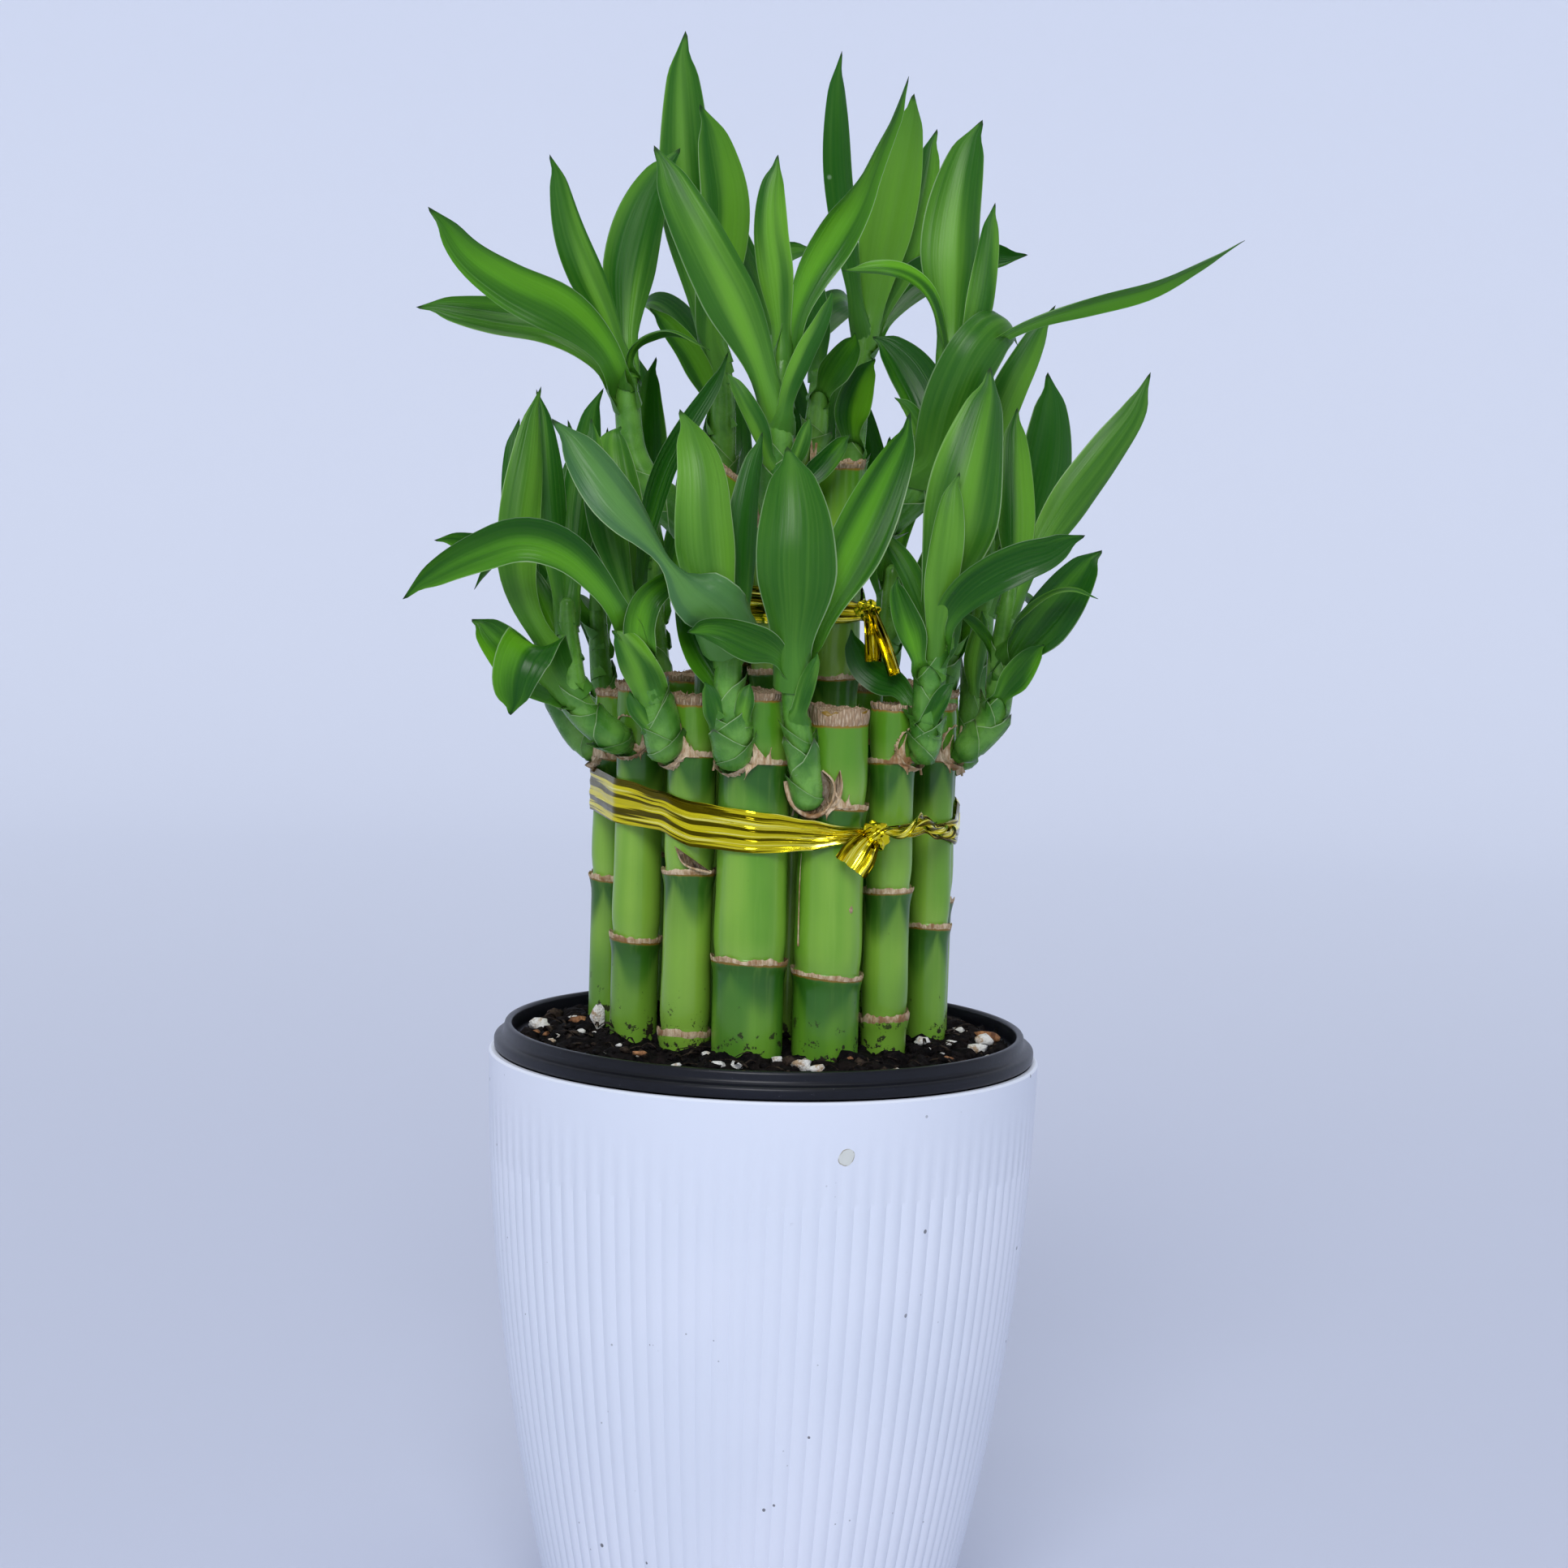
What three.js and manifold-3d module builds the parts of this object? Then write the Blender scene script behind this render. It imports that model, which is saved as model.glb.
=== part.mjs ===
import * as THREE from "three";
import { mergeVertices } from "three/addons/utils/BufferGeometryUtils.js";
import Module from "manifold-3d";

const wasm = await Module();
wasm.setup();

// Lucky bamboo in its pot. Millimetres, +Z up, the front faces -Y.
// The origin lies under the middle of the pot, on the surface it stands on.

// White cover pot with fine upright flutes
const POT_HEIGHT = 165;
const POT_RIM_RADIUS = 76.4;
const POT_LEAN = 0.01;
const POT_BELLY = 0.00077;
const POT_WALL = 2.4;
const POT_FLOOR = 3;
const FLUTES = 100;
const FLUTE_DEPTH = 0.6;
const FLUTE_START = 12;
const FLUTE_FULL = 40;

// Black nursery pot that hangs by its flange in the cover pot
const NURSERY_BASE_Z = 25;
const NURSERY_BASE_RADIUS = 51;
const NURSERY_WALL = 1.3;
const NURSERY_TOP_RADIUS = 69.6;
const FLANGE_RADIUS = 75;
const FLANGE_THICK = 3.2;
const LIP_RADIUS = 72.2;
const NURSERY_RIM_Z = 172.4;

// Sides of the nursery pot and of the potting mix in it
const POT_SIDES = 40;

// Potting mix
const SOIL_Z = 170.4;
const SOIL_EDGE_Z = 168.8;
const CANE_DEPTH = 48;

// Gap kept between pieces that touch
const SEAT = 0.3;

// Canes: cut stems with ringed nodes
const CANE_SIDES = 9;
const NODE_SWELL = 0.7;
const NODE_HALF = 3.2;

// Leaves and shoots
const LEAF_THICK = 1.1;
const LEAF_NECK = 0.42;
const LEAF_WIDEST = 0.48;
const LEAF_TROUGH = 0.09;
const STEM_SIDES = 6;
const UPPER = 1;
const UNDER = -1;

// Places along a blade where it has a cross-section, in CURVE_STEPS: more on a broad leaf,
// fewer on a bract narrower than BRACT_WIDTH
const CURVE_STEPS = 20;
const LEAF_STATIONS = [0, 4, 8, 12, 16];
const BROAD_WIDTH = 16;
const BROAD_STATIONS = [0, 3, 6, 9, 12, 15, 18];
const BRACT_WIDTH = 6;
const BRACT_STATIONS = [0, 8, 14];

// Gold ribbons
const FOIL_THICK = 0.8;

// Leaf and stem points are given as they are seen from the front, from eye height: across and
// up in the plane through the plant's axis, heights counted from DATUM, and then the depth
// behind that plane, along the line of sight.
const EYE = new THREE.Vector3(3.4, -1200, 378);
const DATUM = 160;
const TOWARDS_FRONT = new THREE.Vector3(0, -1, 0);

function seen([across, up, depth]) {
  const inPlane = new THREE.Vector3(across, 0, DATUM + up);
  return inPlane.sub(EYE).multiplyScalar((depth - EYE.y) / -EYE.y).add(EYE);
}

// Canes: name, axis x and y, radius, height of the cut top, heights of the node rings
const CANES = [
  ["outer_cane_1", -44, 6, 5.4, 264, [212, 246]],
  ["outer_cane_2", -36, -15, 6.5, 268, [198.3, 251.3]],
  ["outer_cane_3", -21.5, -32, 6.6, 266.5, [219.2, 251.2]],
  ["outer_cane_4", -4.5, -39, 9.6, 269, [196.6, 250.9]],
  ["outer_cane_5", 16.5, -36.5, 9, 265, [193.3, 239.5]],
  ["outer_cane_6", 32.5, -26, 6.1, 265.5, [215, 250.5]],
  ["outer_cane_7", 44.5, -6, 5.6, 264, [202.8, 249.3]],
  ["outer_cane_8", 45, 10.5, 6.2, 266, [208, 247]],
  ["outer_cane_9", 37.5, 25.5, 6.8, 267, [200, 250]],
  ["outer_cane_10", 24, 37, 7.2, 265, [214, 249]],
  ["outer_cane_11", 7, 42.5, 7.6, 268, [198, 251]],
  ["outer_cane_12", -10, 41.5, 7, 264, [206, 248]],
  ["outer_cane_13", -26, 34.5, 7.4, 266.5, [216, 252]],
  ["outer_cane_14", -38, 21.5, 6.6, 265, [201, 247]],
  ["inner_cane_1", -15, -8, 7, 327, [275, 303]],
  ["inner_cane_2", 0.5, -17.5, 7.2, 326, [273, 314]],
  ["inner_cane_3", 15.5, -9, 7.2, 330, [272, 306]],
  ["inner_cane_4", 15.5, 9.5, 7, 322, [276, 312]],
  ["inner_cane_5", 1, 17.5, 7.2, 324, [271, 314]],
  ["inner_cane_6", -14, 9.5, 7, 322, [268, 312]],
  ["inner_cane_7", 0.5, 0.5, 7, 335, [290, 326]],
];
const OUTER_CANES = CANES.slice(0, 14);
const INNER_CANES = CANES.slice(14, 20);
const SLANTED_CANE = "inner_cane_1";
const SLANT = -0.7;

// Shoots that show from the front. Each has the cane it grows from, its stem as points with a
// radius, and its leaves: width, turns about the midrib in degrees from base to tip, the face
// that is seen, the midrib's points, and the width of the base where it isn't LEAF_NECK.
const FRONT_SHOOTS = [
  ["outer_shoot_1", "outer_cane_1",
    [[-47, 86.8, 6, 2.3], [-50, 89, 7, 4.6], [-54, 93, 8, 4.6], [-58, 100, 9, 4], [-61, 110, 9, 3.6],
      [-62, 122, 9, 3], [-62.5, 132, 9, 2.2]],
    [
      [9, [0, 20], UNDER, [[-62, 118, 9], [-67, 130, 10], [-71, 143, 11], [-73, 158, 12],
        [-73.5, 170, 14], [-73, 179, 16]]],
      [7.5, [0, 10], UPPER, [[-62, 124, 8], [-69, 136, 6], [-77, 142, 4], [-86, 144.5, 2],
        [-94.8, 145.5, 0]]],
      [6, [70, 75], UPPER, [[-61.5, 115, 11], [-68, 133, 16], [-74, 141, 19], [-79, 138, 22],
        [-84, 131.5, 24]]],
      [9, [10, 30], UNDER, [[-62.5, 128, 10], [-60, 145, 13], [-58, 160, 17], [-57, 172, 22]]],
    ]],
  ["outer_shoot_2", "outer_cane_2",
    [[-40, 89.5, -20, 3], [-43.3, 91.6, -23, 4.8], [-47.4, 94, -25, 4.6], [-52, 98, -26, 4.3],
      [-55, 104, -27, 4], [-56.7, 113, -27, 3.8], [-57.5, 122, -26.5, 3], [-58, 130, -26, 2.2]],
    [
      [15.5, [0, 0, -5, -80, -78, -78], UNDER, [[-55.5, 102, -27], [-59.6, 108.2, -30],
        [-62.7, 114, -35], [-65.4, 117.2, -41], [-69, 114.4, -46], [-71.2, 108.4, -48],
        [-71.8, 102.5, -47], [-71.4, 97, -44]], 0.6],
      [13, [0, 0], UPPER, [[-55.5, 103, -26], [-62.5, 105.5, -28], [-68.2, 110, -31],
        [-73.9, 115.2, -33], [-79.1, 120, -33], [-82.9, 124.3, -32]], 0.6],
      [11.5, [0, 0, 20, 40], UNDER, [[-57, 110, -28], [-63, 117, -31], [-69, 127, -33],
        [-72, 138, -33], [-71.5, 152, -31], [-69.5, 168, -28], [-67.5, 188, -23]]],
      [9, [20, 30], UNDER, [[-57.5, 120, -25], [-60, 135, -23], [-62, 150, -21], [-63.5, 165, -19],
        [-65, 178, -17], [-67, 187, -15]]],
      [10, [0, 20], UNDER, [[-57.5, 122, -25], [-56, 138, -22], [-54.5, 155, -18], [-53, 170, -15],
        [-52, 181, -15], [-50, 188, -16]]],
      [8, [20, 20], UPPER, [[-57, 112, -25], [-61, 121, -22], [-65.5, 131, -20], [-69, 139, -18]]],
    ]],
  ["outer_shoot_3", "outer_cane_3",
    [[-28.5, 86, -35, 2.5], [-29.8, 89.5, -37, 5.6], [-31, 96, -39, 5.4], [-33.5, 103, -40.5, 4.6],
      [-36, 110, -41.5, 4.4], [-38.5, 118, -42, 4], [-39.5, 127, -42, 2.8]],
    [
      [10, [0, 0], UNDER, [[-33, 101, -43], [-36, 108.5, -46], [-40, 115.5, -47.5],
        [-44.5, 122, -47]], 0.9],
      [12, [10, 0, -10, 0], UPPER, [[-38.5, 117, -44], [-44, 128, -48], [-50, 136, -51],
        [-57, 142.5, -53], [-65, 146, -54], [-73, 146.3, -54], [-81, 143.5, -53], [-90, 139, -51],
        [-98, 133.5, -49], [-104, 129, -48]]],
      [9.5, [0, 20], UNDER, [[-39.5, 123, -42.5], [-42, 133, -43], [-45, 144, -43], [-48, 156, -42],
        [-51, 168, -40], [-51.8, 179.5, -37]]],
      [13, [0, 0], UNDER, [[-39, 121, -41], [-41, 140, -38], [-44, 156, -35], [-46, 168, -32],
        [-46.5, 175, -28], [-45.5, 177.5, -22]]],
      [7, [30, 20], UPPER, [[-39, 124, -41], [-37.5, 140, -39], [-36, 152, -37], [-32, 166, -35],
        [-26, 178, -33], [-19.5, 189, -31], [-14.7, 198.5, -29]]],
      [8.5, [0, 10], UPPER, [[-37, 113, -44], [-38, 122, -47], [-36, 130, -48], [-31, 135, -47],
        [-26, 138, -45]], 0.9],
      [5, [0, 0], UNDER, [[-33, 94, -42], [-37.5, 99, -43.5], [-40.5, 104.5, -43]], 0.9],
    ]],
  ["outer_shoot_4", "outer_cane_4",
    [[-10.5, 84.5, -45, 2.5], [-11, 88, -47.5, 5.8], [-11.5, 94, -49.5, 5.8], [-12.3, 101, -50.5, 4.6],
      [-13, 108, -50.5, 4.2], [-12.5, 116, -50, 3.8], [-11.5, 124, -49.5, 2.6]],
    [
      [16, [0, 10, 20], UNDER, [[-12.5, 113, -51], [-15, 124, -53], [-17.5, 137, -55],
        [-19.5, 152, -55], [-21.5, 168, -52], [-27, 183, -45]]],
      [17, [0, 0, 15, 80, 58, 35, 30], UNDER, [[-11, 119, -53], [-16, 127, -59], [-23, 132, -62],
        [-29.5, 139, -61], [-37, 148, -58], [-45, 157, -56], [-52, 166, -54], [-58, 174, -52],
        [-61.7, 180, -51]], 0.9],
      [9, [20, 40], UPPER, [[-12.5, 99, -50], [-17, 108, -49.5], [-21, 114, -48.5], [-24.5, 121, -47.5],
        [-26.5, 130, -47], [-27, 136, -47]]],
      [9, [20, 30, 20], UNDER, [[-11, 117, -48.5], [-9.5, 128, -47], [-9.5, 142, -46],
        [-9, 156, -45], [-7.5, 168, -42], [-5, 177, -39]]],
      [6, [-20, 0], UNDER, [[-14, 93, -52], [-16.5, 101, -54.5], [-19, 108, -54]], 0.9],
      [5, [20, 0], UNDER, [[-9, 95, -53], [-8, 102, -55], [-7, 108, -54]], 0.9],
    ]],
  ["outer_shoot_5", "outer_cane_5",
    [[11, 73.2, -43.5, 2.2], [10.2, 76.5, -45, 5.6], [9, 84, -47.5, 5], [7.3, 93, -49.5, 4.6],
      [5.6, 102, -50.5, 4.2], [4.6, 112, -51, 3.8], [4.8, 121, -50.5, 2.6]],
    [
      [21, [0, 0], UNDER, [[5, 107, -53], [4.5, 118, -57], [4.5, 130, -61], [4, 142, -63],
        [4, 154, -61], [3, 165, -57], [2.5, 173.5, -52]]],
      [10, [20, 10, 0], UPPER, [[5, 111, -52], [0, 116.5, -58], [-7, 119.5, -63], [-14, 122, -65],
        [-20, 122.5, -64], [-24, 120.5, -62]]],
      [15, [0, 10, 20], UPPER, [[6.5, 112, -50.5], [10, 122, -50.5], [14, 133, -50], [19, 145, -49],
        [25, 158, -47], [31, 171, -45], [36.3, 183, -43]]],
      [4.6, [0, 0], UNDER, [[6, 97, -53], [8.2, 105.5, -56], [10.3, 112, -56.5], [12, 117, -56]], 0.9],
    ]],
  ["outer_shoot_6", "outer_cane_6",
    [[39.5, 88.5, -29.5, 2.4], [41.7, 91, -31, 4.7], [42.2, 97, -33, 4.4], [42.5, 105, -34, 4.2],
      [43.2, 113, -34.5, 4], [44.2, 121, -35, 3.4], [45, 129, -35, 2.4]],
    [
      [7.5, [0, 0], UPPER, [[40.5, 111, -37], [38, 120, -41], [35, 128, -43], [33, 134, -43],
        [32, 138.5, -42]]],
      [6.5, [10, 20], UNDER, [[42.5, 119, -36], [41, 129, -37.5], [38, 137, -37.5], [34, 144, -36.5],
        [30, 149, -35.5], [28, 152, -35]]],
      [20, [0, 0, 10, 20], UNDER, [[43.8, 119, -37], [44.3, 130, -39], [46, 141, -41], [49, 153, -42],
        [51.5, 166, -41], [54.5, 181, -37], [57.5, 196.5, -32]]],
      [9.5, [0, 0], UNDER, [[43.5, 116, -38], [44, 128, -44], [45, 140, -47], [46.5, 154, -48],
        [47.8, 168, -46]]],
      [11.5, [0, 0, -20], UPPER, [[44, 116, -37], [47, 127, -43], [52, 134, -47], [59, 139.5, -48],
        [67, 143.5, -47], [75, 146.5, -45], [83.5, 152.5, -41]]],
      [5, [0, 0], UPPER, [[42, 96, -36], [45.5, 104, -38.5], [49, 110, -37.5]], 0.9],
      [9, [0, -20, -20], UPPER, [[40, 101, -32], [34.5, 108.5, -28.5], [28.5, 111, -25.5],
        [24, 115, -24], [20, 123.5, -23]]],
      [5, [0, 0], UNDER, [[44, 111, -33], [48, 121, -31], [50.5, 131, -29]]],
    ]],
  ["outer_shoot_7", "outer_cane_7",
    [[50.5, 89, -8, 2.4], [53.8, 91.8, -9.5, 4.8], [57.8, 96, -11, 4.8], [60.8, 101, -12, 4.6],
      [61.8, 108, -12.5, 4.2], [62, 117, -12.5, 3.8], [63, 128, -12, 3.2], [64, 138, -11, 2.4]],
    [
      [8, [0, 0], UPPER, [[60.5, 103, -15], [64.5, 109.5, -18.5], [69, 115.5, -20], [73.5, 121.5, -20.5]]],
      [14, [0, 0], UPPER, [[61.5, 109, -14], [67, 119, -17], [73, 127, -19], [79, 135, -20],
        [84, 142.5, -20], [87.5, 148.5, -19]]],
      [7, [75, 80], UPPER, [[62.5, 118, -16], [67, 129, -23], [75, 135.5, -27], [82, 136.8, -28],
        [88.3, 134, -28]]],
      [10.5, [0, 10], UNDER, [[63.5, 129, -11], [65.5, 142, -10], [65.5, 156, -8], [64.5, 170, -5],
        [63.5, 186, -1]]],
      [11.5, [0, 20], UNDER, [[64, 129, -10], [68, 140, -9], [73.5, 150, -7], [81, 162, -5],
        [89.5, 174, -3], [97, 186, -2], [99.3, 197, -1]]],
      [5, [50, 60], UPPER, [[60.5, 112, -13], [59, 120, -15.5], [55, 125.5, -17], [49.5, 129.5, -17]]],
    ]],
  ["outer_shoot_8", "outer_cane_8",
    [[50, 86, 13, 2.5], [52.5, 90, 14.5, 4.8], [54.5, 97, 15.5, 4.4], [55.5, 108, 16, 4],
      [56.5, 122, 16, 3.6], [57, 138, 16, 3.2], [57.5, 151, 16, 2.2]],
    [
      [6, [0, 0], UNDER, [[55.5, 104, 13], [55, 115, 10], [56.5, 124, 9], [57, 130, 8]]],
      [11, [0, 20], UNDER, [[57, 138, 15], [56.5, 158, 13], [58, 177, 12], [62, 190, 12],
        [67, 201, 13], [73, 214.5, 15]]],
      [16, [0, 20], UNDER, [[57, 130, 17], [63, 142, 19], [69, 152, 20], [72.5, 166, 20], [74, 181, 20],
        [73, 196, 20]]],
      [11, [20, 0], UPPER, [[57.5, 144, 18], [60, 153, 22], [64, 161, 26], [69, 165, 28], [73, 163, 31]]],
    ]],
  ["inner_shoot_1", "inner_cane_1",
    [[-21, 146, -9, 2.6], [-25, 150, -9, 4.8], [-31, 156, -8, 4.8], [-37, 163, -7, 4.4],
      [-41, 171, -6, 4.2], [-42.5, 181, -5, 4], [-43, 190, -5, 3.2], [-43.5, 198, -5, 2.2]],
    [
      [14, [0, -10], UPPER, [[-43, 183, -7], [-46, 192, -11], [-51, 200, -14], [-61, 208.5, -17],
        [-76, 215.5, -18], [-88, 223.5, -17], [-97.5, 236.5, -15]]],
      [9.5, [0, 20], UNDER, [[-43.5, 191, -6], [-47.5, 204, -8], [-54.5, 219, -9], [-60, 233, -9],
        [-64.7, 251, -9]]],
      [14.5, [0, 10], UNDER, [[-43, 191, -3], [-43.5, 205, 0], [-42.5, 221, 3], [-38, 239, 5],
        [-31, 254, 6]]],
      [6, [50, 60], UPPER, [[-43, 189, -8], [-42, 198, -12], [-37, 202.5, -14], [-30, 203.5, -15],
        [-20.5, 199, -16]]],
      [12, [0, 10], UPPER, [[-42.5, 185, -3], [-51, 196.5, 2], [-63, 204.5, 5], [-80, 207, 7],
        [-101, 209.5, 9]]],
    ]],
  ["inner_shoot_2", "inner_cane_2",
    [[-1, 152, -24.5, 2.4], [-1.5, 156, -26, 5], [-1.5, 163, -27, 5], [-1, 172, -27.5, 4.6],
      [-1, 182, -27.5, 4.2], [-1, 192, -27, 3.6], [-0.5, 201, -26.5, 2.4]],
    [
      [15, [0, 10], UNDER, [[-2, 180, -29], [-4.5, 190, -33], [-8, 200, -36], [-14, 213, -38],
        [-22, 227, -38], [-30, 241, -36], [-36.5, 254.5, -33]]],
      [10, [0, 10], UNDER, [[-0.5, 196, -27], [-1.5, 208, -28], [-3, 220, -29], [-5, 232, -29],
        [-5, 243, -28], [-3, 252.5, -26]]],
      [12.5, [10, 10, 15, 30, 62, 74, 65], UPPER, [[0.5, 193, -27], [2, 207, -27], [6.5, 220, -26],
        [12.5, 231, -25], [19, 242, -23.5], [24, 254, -22], [28.5, 265, -20.5], [31, 275, -19]]],
      [5.5, [0, 0], UNDER, [[-0.5, 177, -31], [1.5, 189, -34], [5.5, 199, -35], [9.5, 207, -35],
        [13, 216.5, -34]], 0.7],
      [5.5, [0, 0], UNDER, [[-2, 165, -31], [-6, 177, -34], [-11, 186, -35], [-15.5, 193.5, -34]]],
      [4.5, [0, 0], UNDER, [[1, 164, -31], [4.5, 172, -33], [7.5, 181.5, -33]]],
      [6.5, [0, 0], UPPER, [[1, 160, -29], [7, 164, -27.5], [12, 169, -26.5], [18.3, 177.5, -25.5]]],
    ]],
  ["inner_shoot_3", "inner_cane_3",
    [[21, 146, -12, 2.6], [25, 150, -13, 4.8], [31, 155, -14, 4.8], [37, 162, -14.5, 4.4],
      [41.5, 171, -15, 4.2], [44, 181, -15, 4], [45, 191, -15, 3.4], [45.5, 200, -15, 2.4]],
    [
      [16, [0, 10], UNDER, [[45, 194, -15], [45.5, 207, -14], [45, 221, -12], [45.5, 236, -9],
        [47.5, 251, -6], [50.8, 264, -2]]],
      [7.5, [0, 10], UNDER, [[45.5, 192, -17], [49.5, 202, -20], [53, 212, -21.5], [54.8, 227, -20],
        [55.5, 241.5, -18]]],
      [16, [0, 0], UNDER, [[43, 163, -18], [44, 174, -23], [46.5, 186, -27], [51, 198, -29],
        [56.5, 206, -26], [61, 208, -19], [63, 204, -11]], 0.8],
      [9.5, [58, 50, 54], UPPER, [[46, 187, -17], [52, 199, -22], [60, 205.5, -25], [70, 210.5, -26],
        [85, 215.5, -26], [100, 220, -25], [112, 226, -24], [124.5, 233, -23]]],
      [7, [60, 60], UPPER, [[45, 195, -16], [42.5, 207, -18], [39, 216, -20], [33, 221, -21],
        [25, 222.5, -22], [15, 221.5, -22]]],
      [5, [0, 0], UNDER, [[42.5, 165, -19], [39, 176, -22], [35, 184, -23], [30.5, 188, -23]]],
      [13, [0, 0], UPPER, [[42, 171, -14], [41, 180, -11], [38.3, 189, -8.5], [34.2, 196, -7],
        [29.5, 201, -6], [24.3, 204.8, -5]], 0.7],
    ]],
  ["inner_shoot_4", "inner_cane_4",
    [[17.5, 150, 15.5, 2.4], [18, 155, 17, 4.8], [18.5, 165, 18, 4.6], [19, 176, 18, 4.4],
      [20, 188, 18, 4], [21, 198, 18, 3.4], [21.5, 208, 18, 2.4]],
    [
      [8.5, [20, 20], UNDER, [[21, 203, 17], [19, 215, 15], [16.5, 230, 12], [13.5, 248, 9],
        [12.5, 265, 6], [12, 281, 4]]],
      [15, [0, 10], UNDER, [[21.5, 201, 19], [24, 214, 19], [26.5, 228, 18], [29, 243, 17],
        [31.5, 257, 15], [34, 270, 13]]],
      [11, [0, -10], UNDER, [[21.5, 201, 21], [27, 215, 24], [32, 229, 27], [36, 245, 30],
        [38.5, 261, 33]]],
      [11, [0, 0, 30], UPPER, [[21.5, 199, 21], [28, 211, 24], [37, 220, 26], [50, 226, 28],
        [65.5, 227, 29]]],
      [10, [0, 0], UPPER, [[19.5, 172, 14], [18, 182, 9], [20, 190, 6], [24, 198.5, 4]]],
    ]],
  ["inner_shoot_5", "inner_cane_5",
    [[1, 150, 24, 2.4], [1, 155, 26, 4.8], [0.5, 165, 28, 4.4], [0, 177, 29.5, 4], [-1, 189, 30.5, 3.4],
      [-2, 199, 31, 2.4]],
    [
      [9, [0, 0], UPPER, [[-2, 195, 31], [-7, 210, 33], [-7, 221, 36], [0, 226.5, 39], [8, 227, 41]]],
      [12, [0, 10], UNDER, [[-1.5, 194, 30], [-7, 212, 31], [-15, 228, 33], [-21.5, 243, 35],
        [-25, 256, 37]]],
      [11, [0, 0], UPPER, [[-1, 190, 32], [5, 203, 37], [12, 211, 44], [17, 213, 53], [19, 208, 61]]],
      [11, [0, 0], UPPER, [[-0.5, 183, 30], [-2.5, 200, 38], [-3, 211, 49], [-2, 213, 60], [-1, 207, 70]]],
    ]],
  ["inner_shoot_6", "inner_cane_6",
    [[-16, 150, 15.5, 2.4], [-16.5, 155, 17, 4.8], [-16.5, 166, 18, 4.4], [-16.5, 178, 18.5, 4.2],
      [-17, 190, 18.5, 3.6], [-18.5, 200, 18.5, 2.6]],
    [
      [15.5, [0, 0], UNDER, [[-18, 195, 19], [-22, 208, 20], [-26, 228, 21], [-28.5, 248, 22],
        [-30, 267, 23], [-31, 285, 24]]],
      [14.5, [0, 10], UNDER, [[-18, 193, 17], [-20.5, 205, 15], [-18, 222, 12], [-17, 238, 9],
        [-19.5, 252, 7], [-24, 266, 5]]],
      [7.5, [0, 0], UPPER, [[-17, 178, 18], [-21, 189, 17], [-26, 198, 16], [-31, 204, 15],
        [-37, 210.5, 14]]],
      [9, [0, 0], UPPER, [[-17.5, 187, 20], [-24, 200, 28], [-31, 209, 36], [-37, 212, 44],
        [-42, 208, 51]]],
    ]],
  ["inner_shoot_7", "inner_cane_7",
    [[5, 167, 4, 2.2], [7.5, 170.5, 5.5, 4], [9, 178, 6, 3.8], [9.5, 187, 6, 3.2], [9.5, 195, 6, 2.4]],
    [
      [10, [0, 10], UNDER, [[9.5, 191, 6], [8, 204, 7], [6.5, 216, 8], [5.5, 226, 9]]],
      [9, [0, 0], UPPER, [[9.5, 186, 4], [12.5, 193, 0], [16, 199, -3], [20, 204.5, -6]]],
    ]],
];

// Shoots at the back, alike but for their size and the direction they lean in, in degrees.
// Points are outward from the cane, sideways, and up from the node ring they grow at.
const BACK_STEM = [[5, 0, -2, 2.4], [8.5, 0, 2, 5], [12, 0, 9, 4.8], [15, 0, 19, 4.3],
  [17, 0, 30, 3.8], [18, 0, 41, 3.2], [18.5, 0, 51, 2.4]];
const BACK_LEAVES = [
  [12, [0, 0], [[16, 0, 20], [22, -2, 33], [30, -4, 43], [40, -5, 47], [49, -6, 42], [54, -6, 34]]],
  [11, [0, 10], [[17, 0, 28], [22, -7, 42], [27, -13, 55], [32, -17, 68], [35, -19, 80]]],
  [12, [0, 0], [[18, 0, 44], [18, 3, 60], [16, 5, 76], [12, 7, 90], [7, 8, 104]]],
  [11, [0, -10], [[17.5, 0, 36], [25, 6, 46], [34, 10, 57], [42, 12, 66], [50, 13, 73]]],
  [11, [0, 0], [[18.5, 0, 46], [22, -1, 62], [27, -2, 79], [33, -3, 94], [39, -4, 105]]],
];
const BACK_SHOOTS = [
  ["outer_shoot_9", "outer_cane_9", 0.9, 46],
  ["outer_shoot_10", "outer_cane_10", 0.97, 64],
  ["outer_shoot_11", "outer_cane_11", 1.04, 82],
  ["outer_shoot_12", "outer_cane_12", 0.95, 101],
  ["outer_shoot_13", "outer_cane_13", 1, 120],
  ["outer_shoot_14", "outer_cane_14", 0.86, 138],
];

// Ribbons: direction about RIBBON_CENTRE in degrees, lower edge, upper edge
const RIBBON_CENTRE = [2, 0];
const OUTER_RIBBON = [[-180, 231, 243], [-152, 230.5, 242.5], [-134, 230.6, 241.2],
  [-118, 227.3, 239.4], [-104, 227.3, 238.8], [-92, 227.3, 237.8], [-80, 228.1, 236.2],
  [-68, 229.7, 234.5], [-58, 228.8, 234], [-50, 231, 234], [-39, 230.3, 234.2],
  [-31, 230.7, 235.6], [-22, 228.3, 232.7], [-2, 225, 233], [30, 229, 240], [90, 230, 242],
  [180, 231, 243]];
const INNER_RIBBON = [[-180, 286, 296], [-90, 286.5, 296.5], [-45, 286.5, 293], [-30, 287, 292],
  [0, 286, 295], [180, 286, 296]];
const OUTER_KNOT = [28.5, 66.5, -43, 4.2];
const INNER_KNOT = [25, 129, -23.5, 3];
const OUTER_TAILS = [
  [10, [0, 0], UPPER, [[29, 67, -44], [26, 63, -48], [22.5, 57.5, -50]], 0.5],
];
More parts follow.
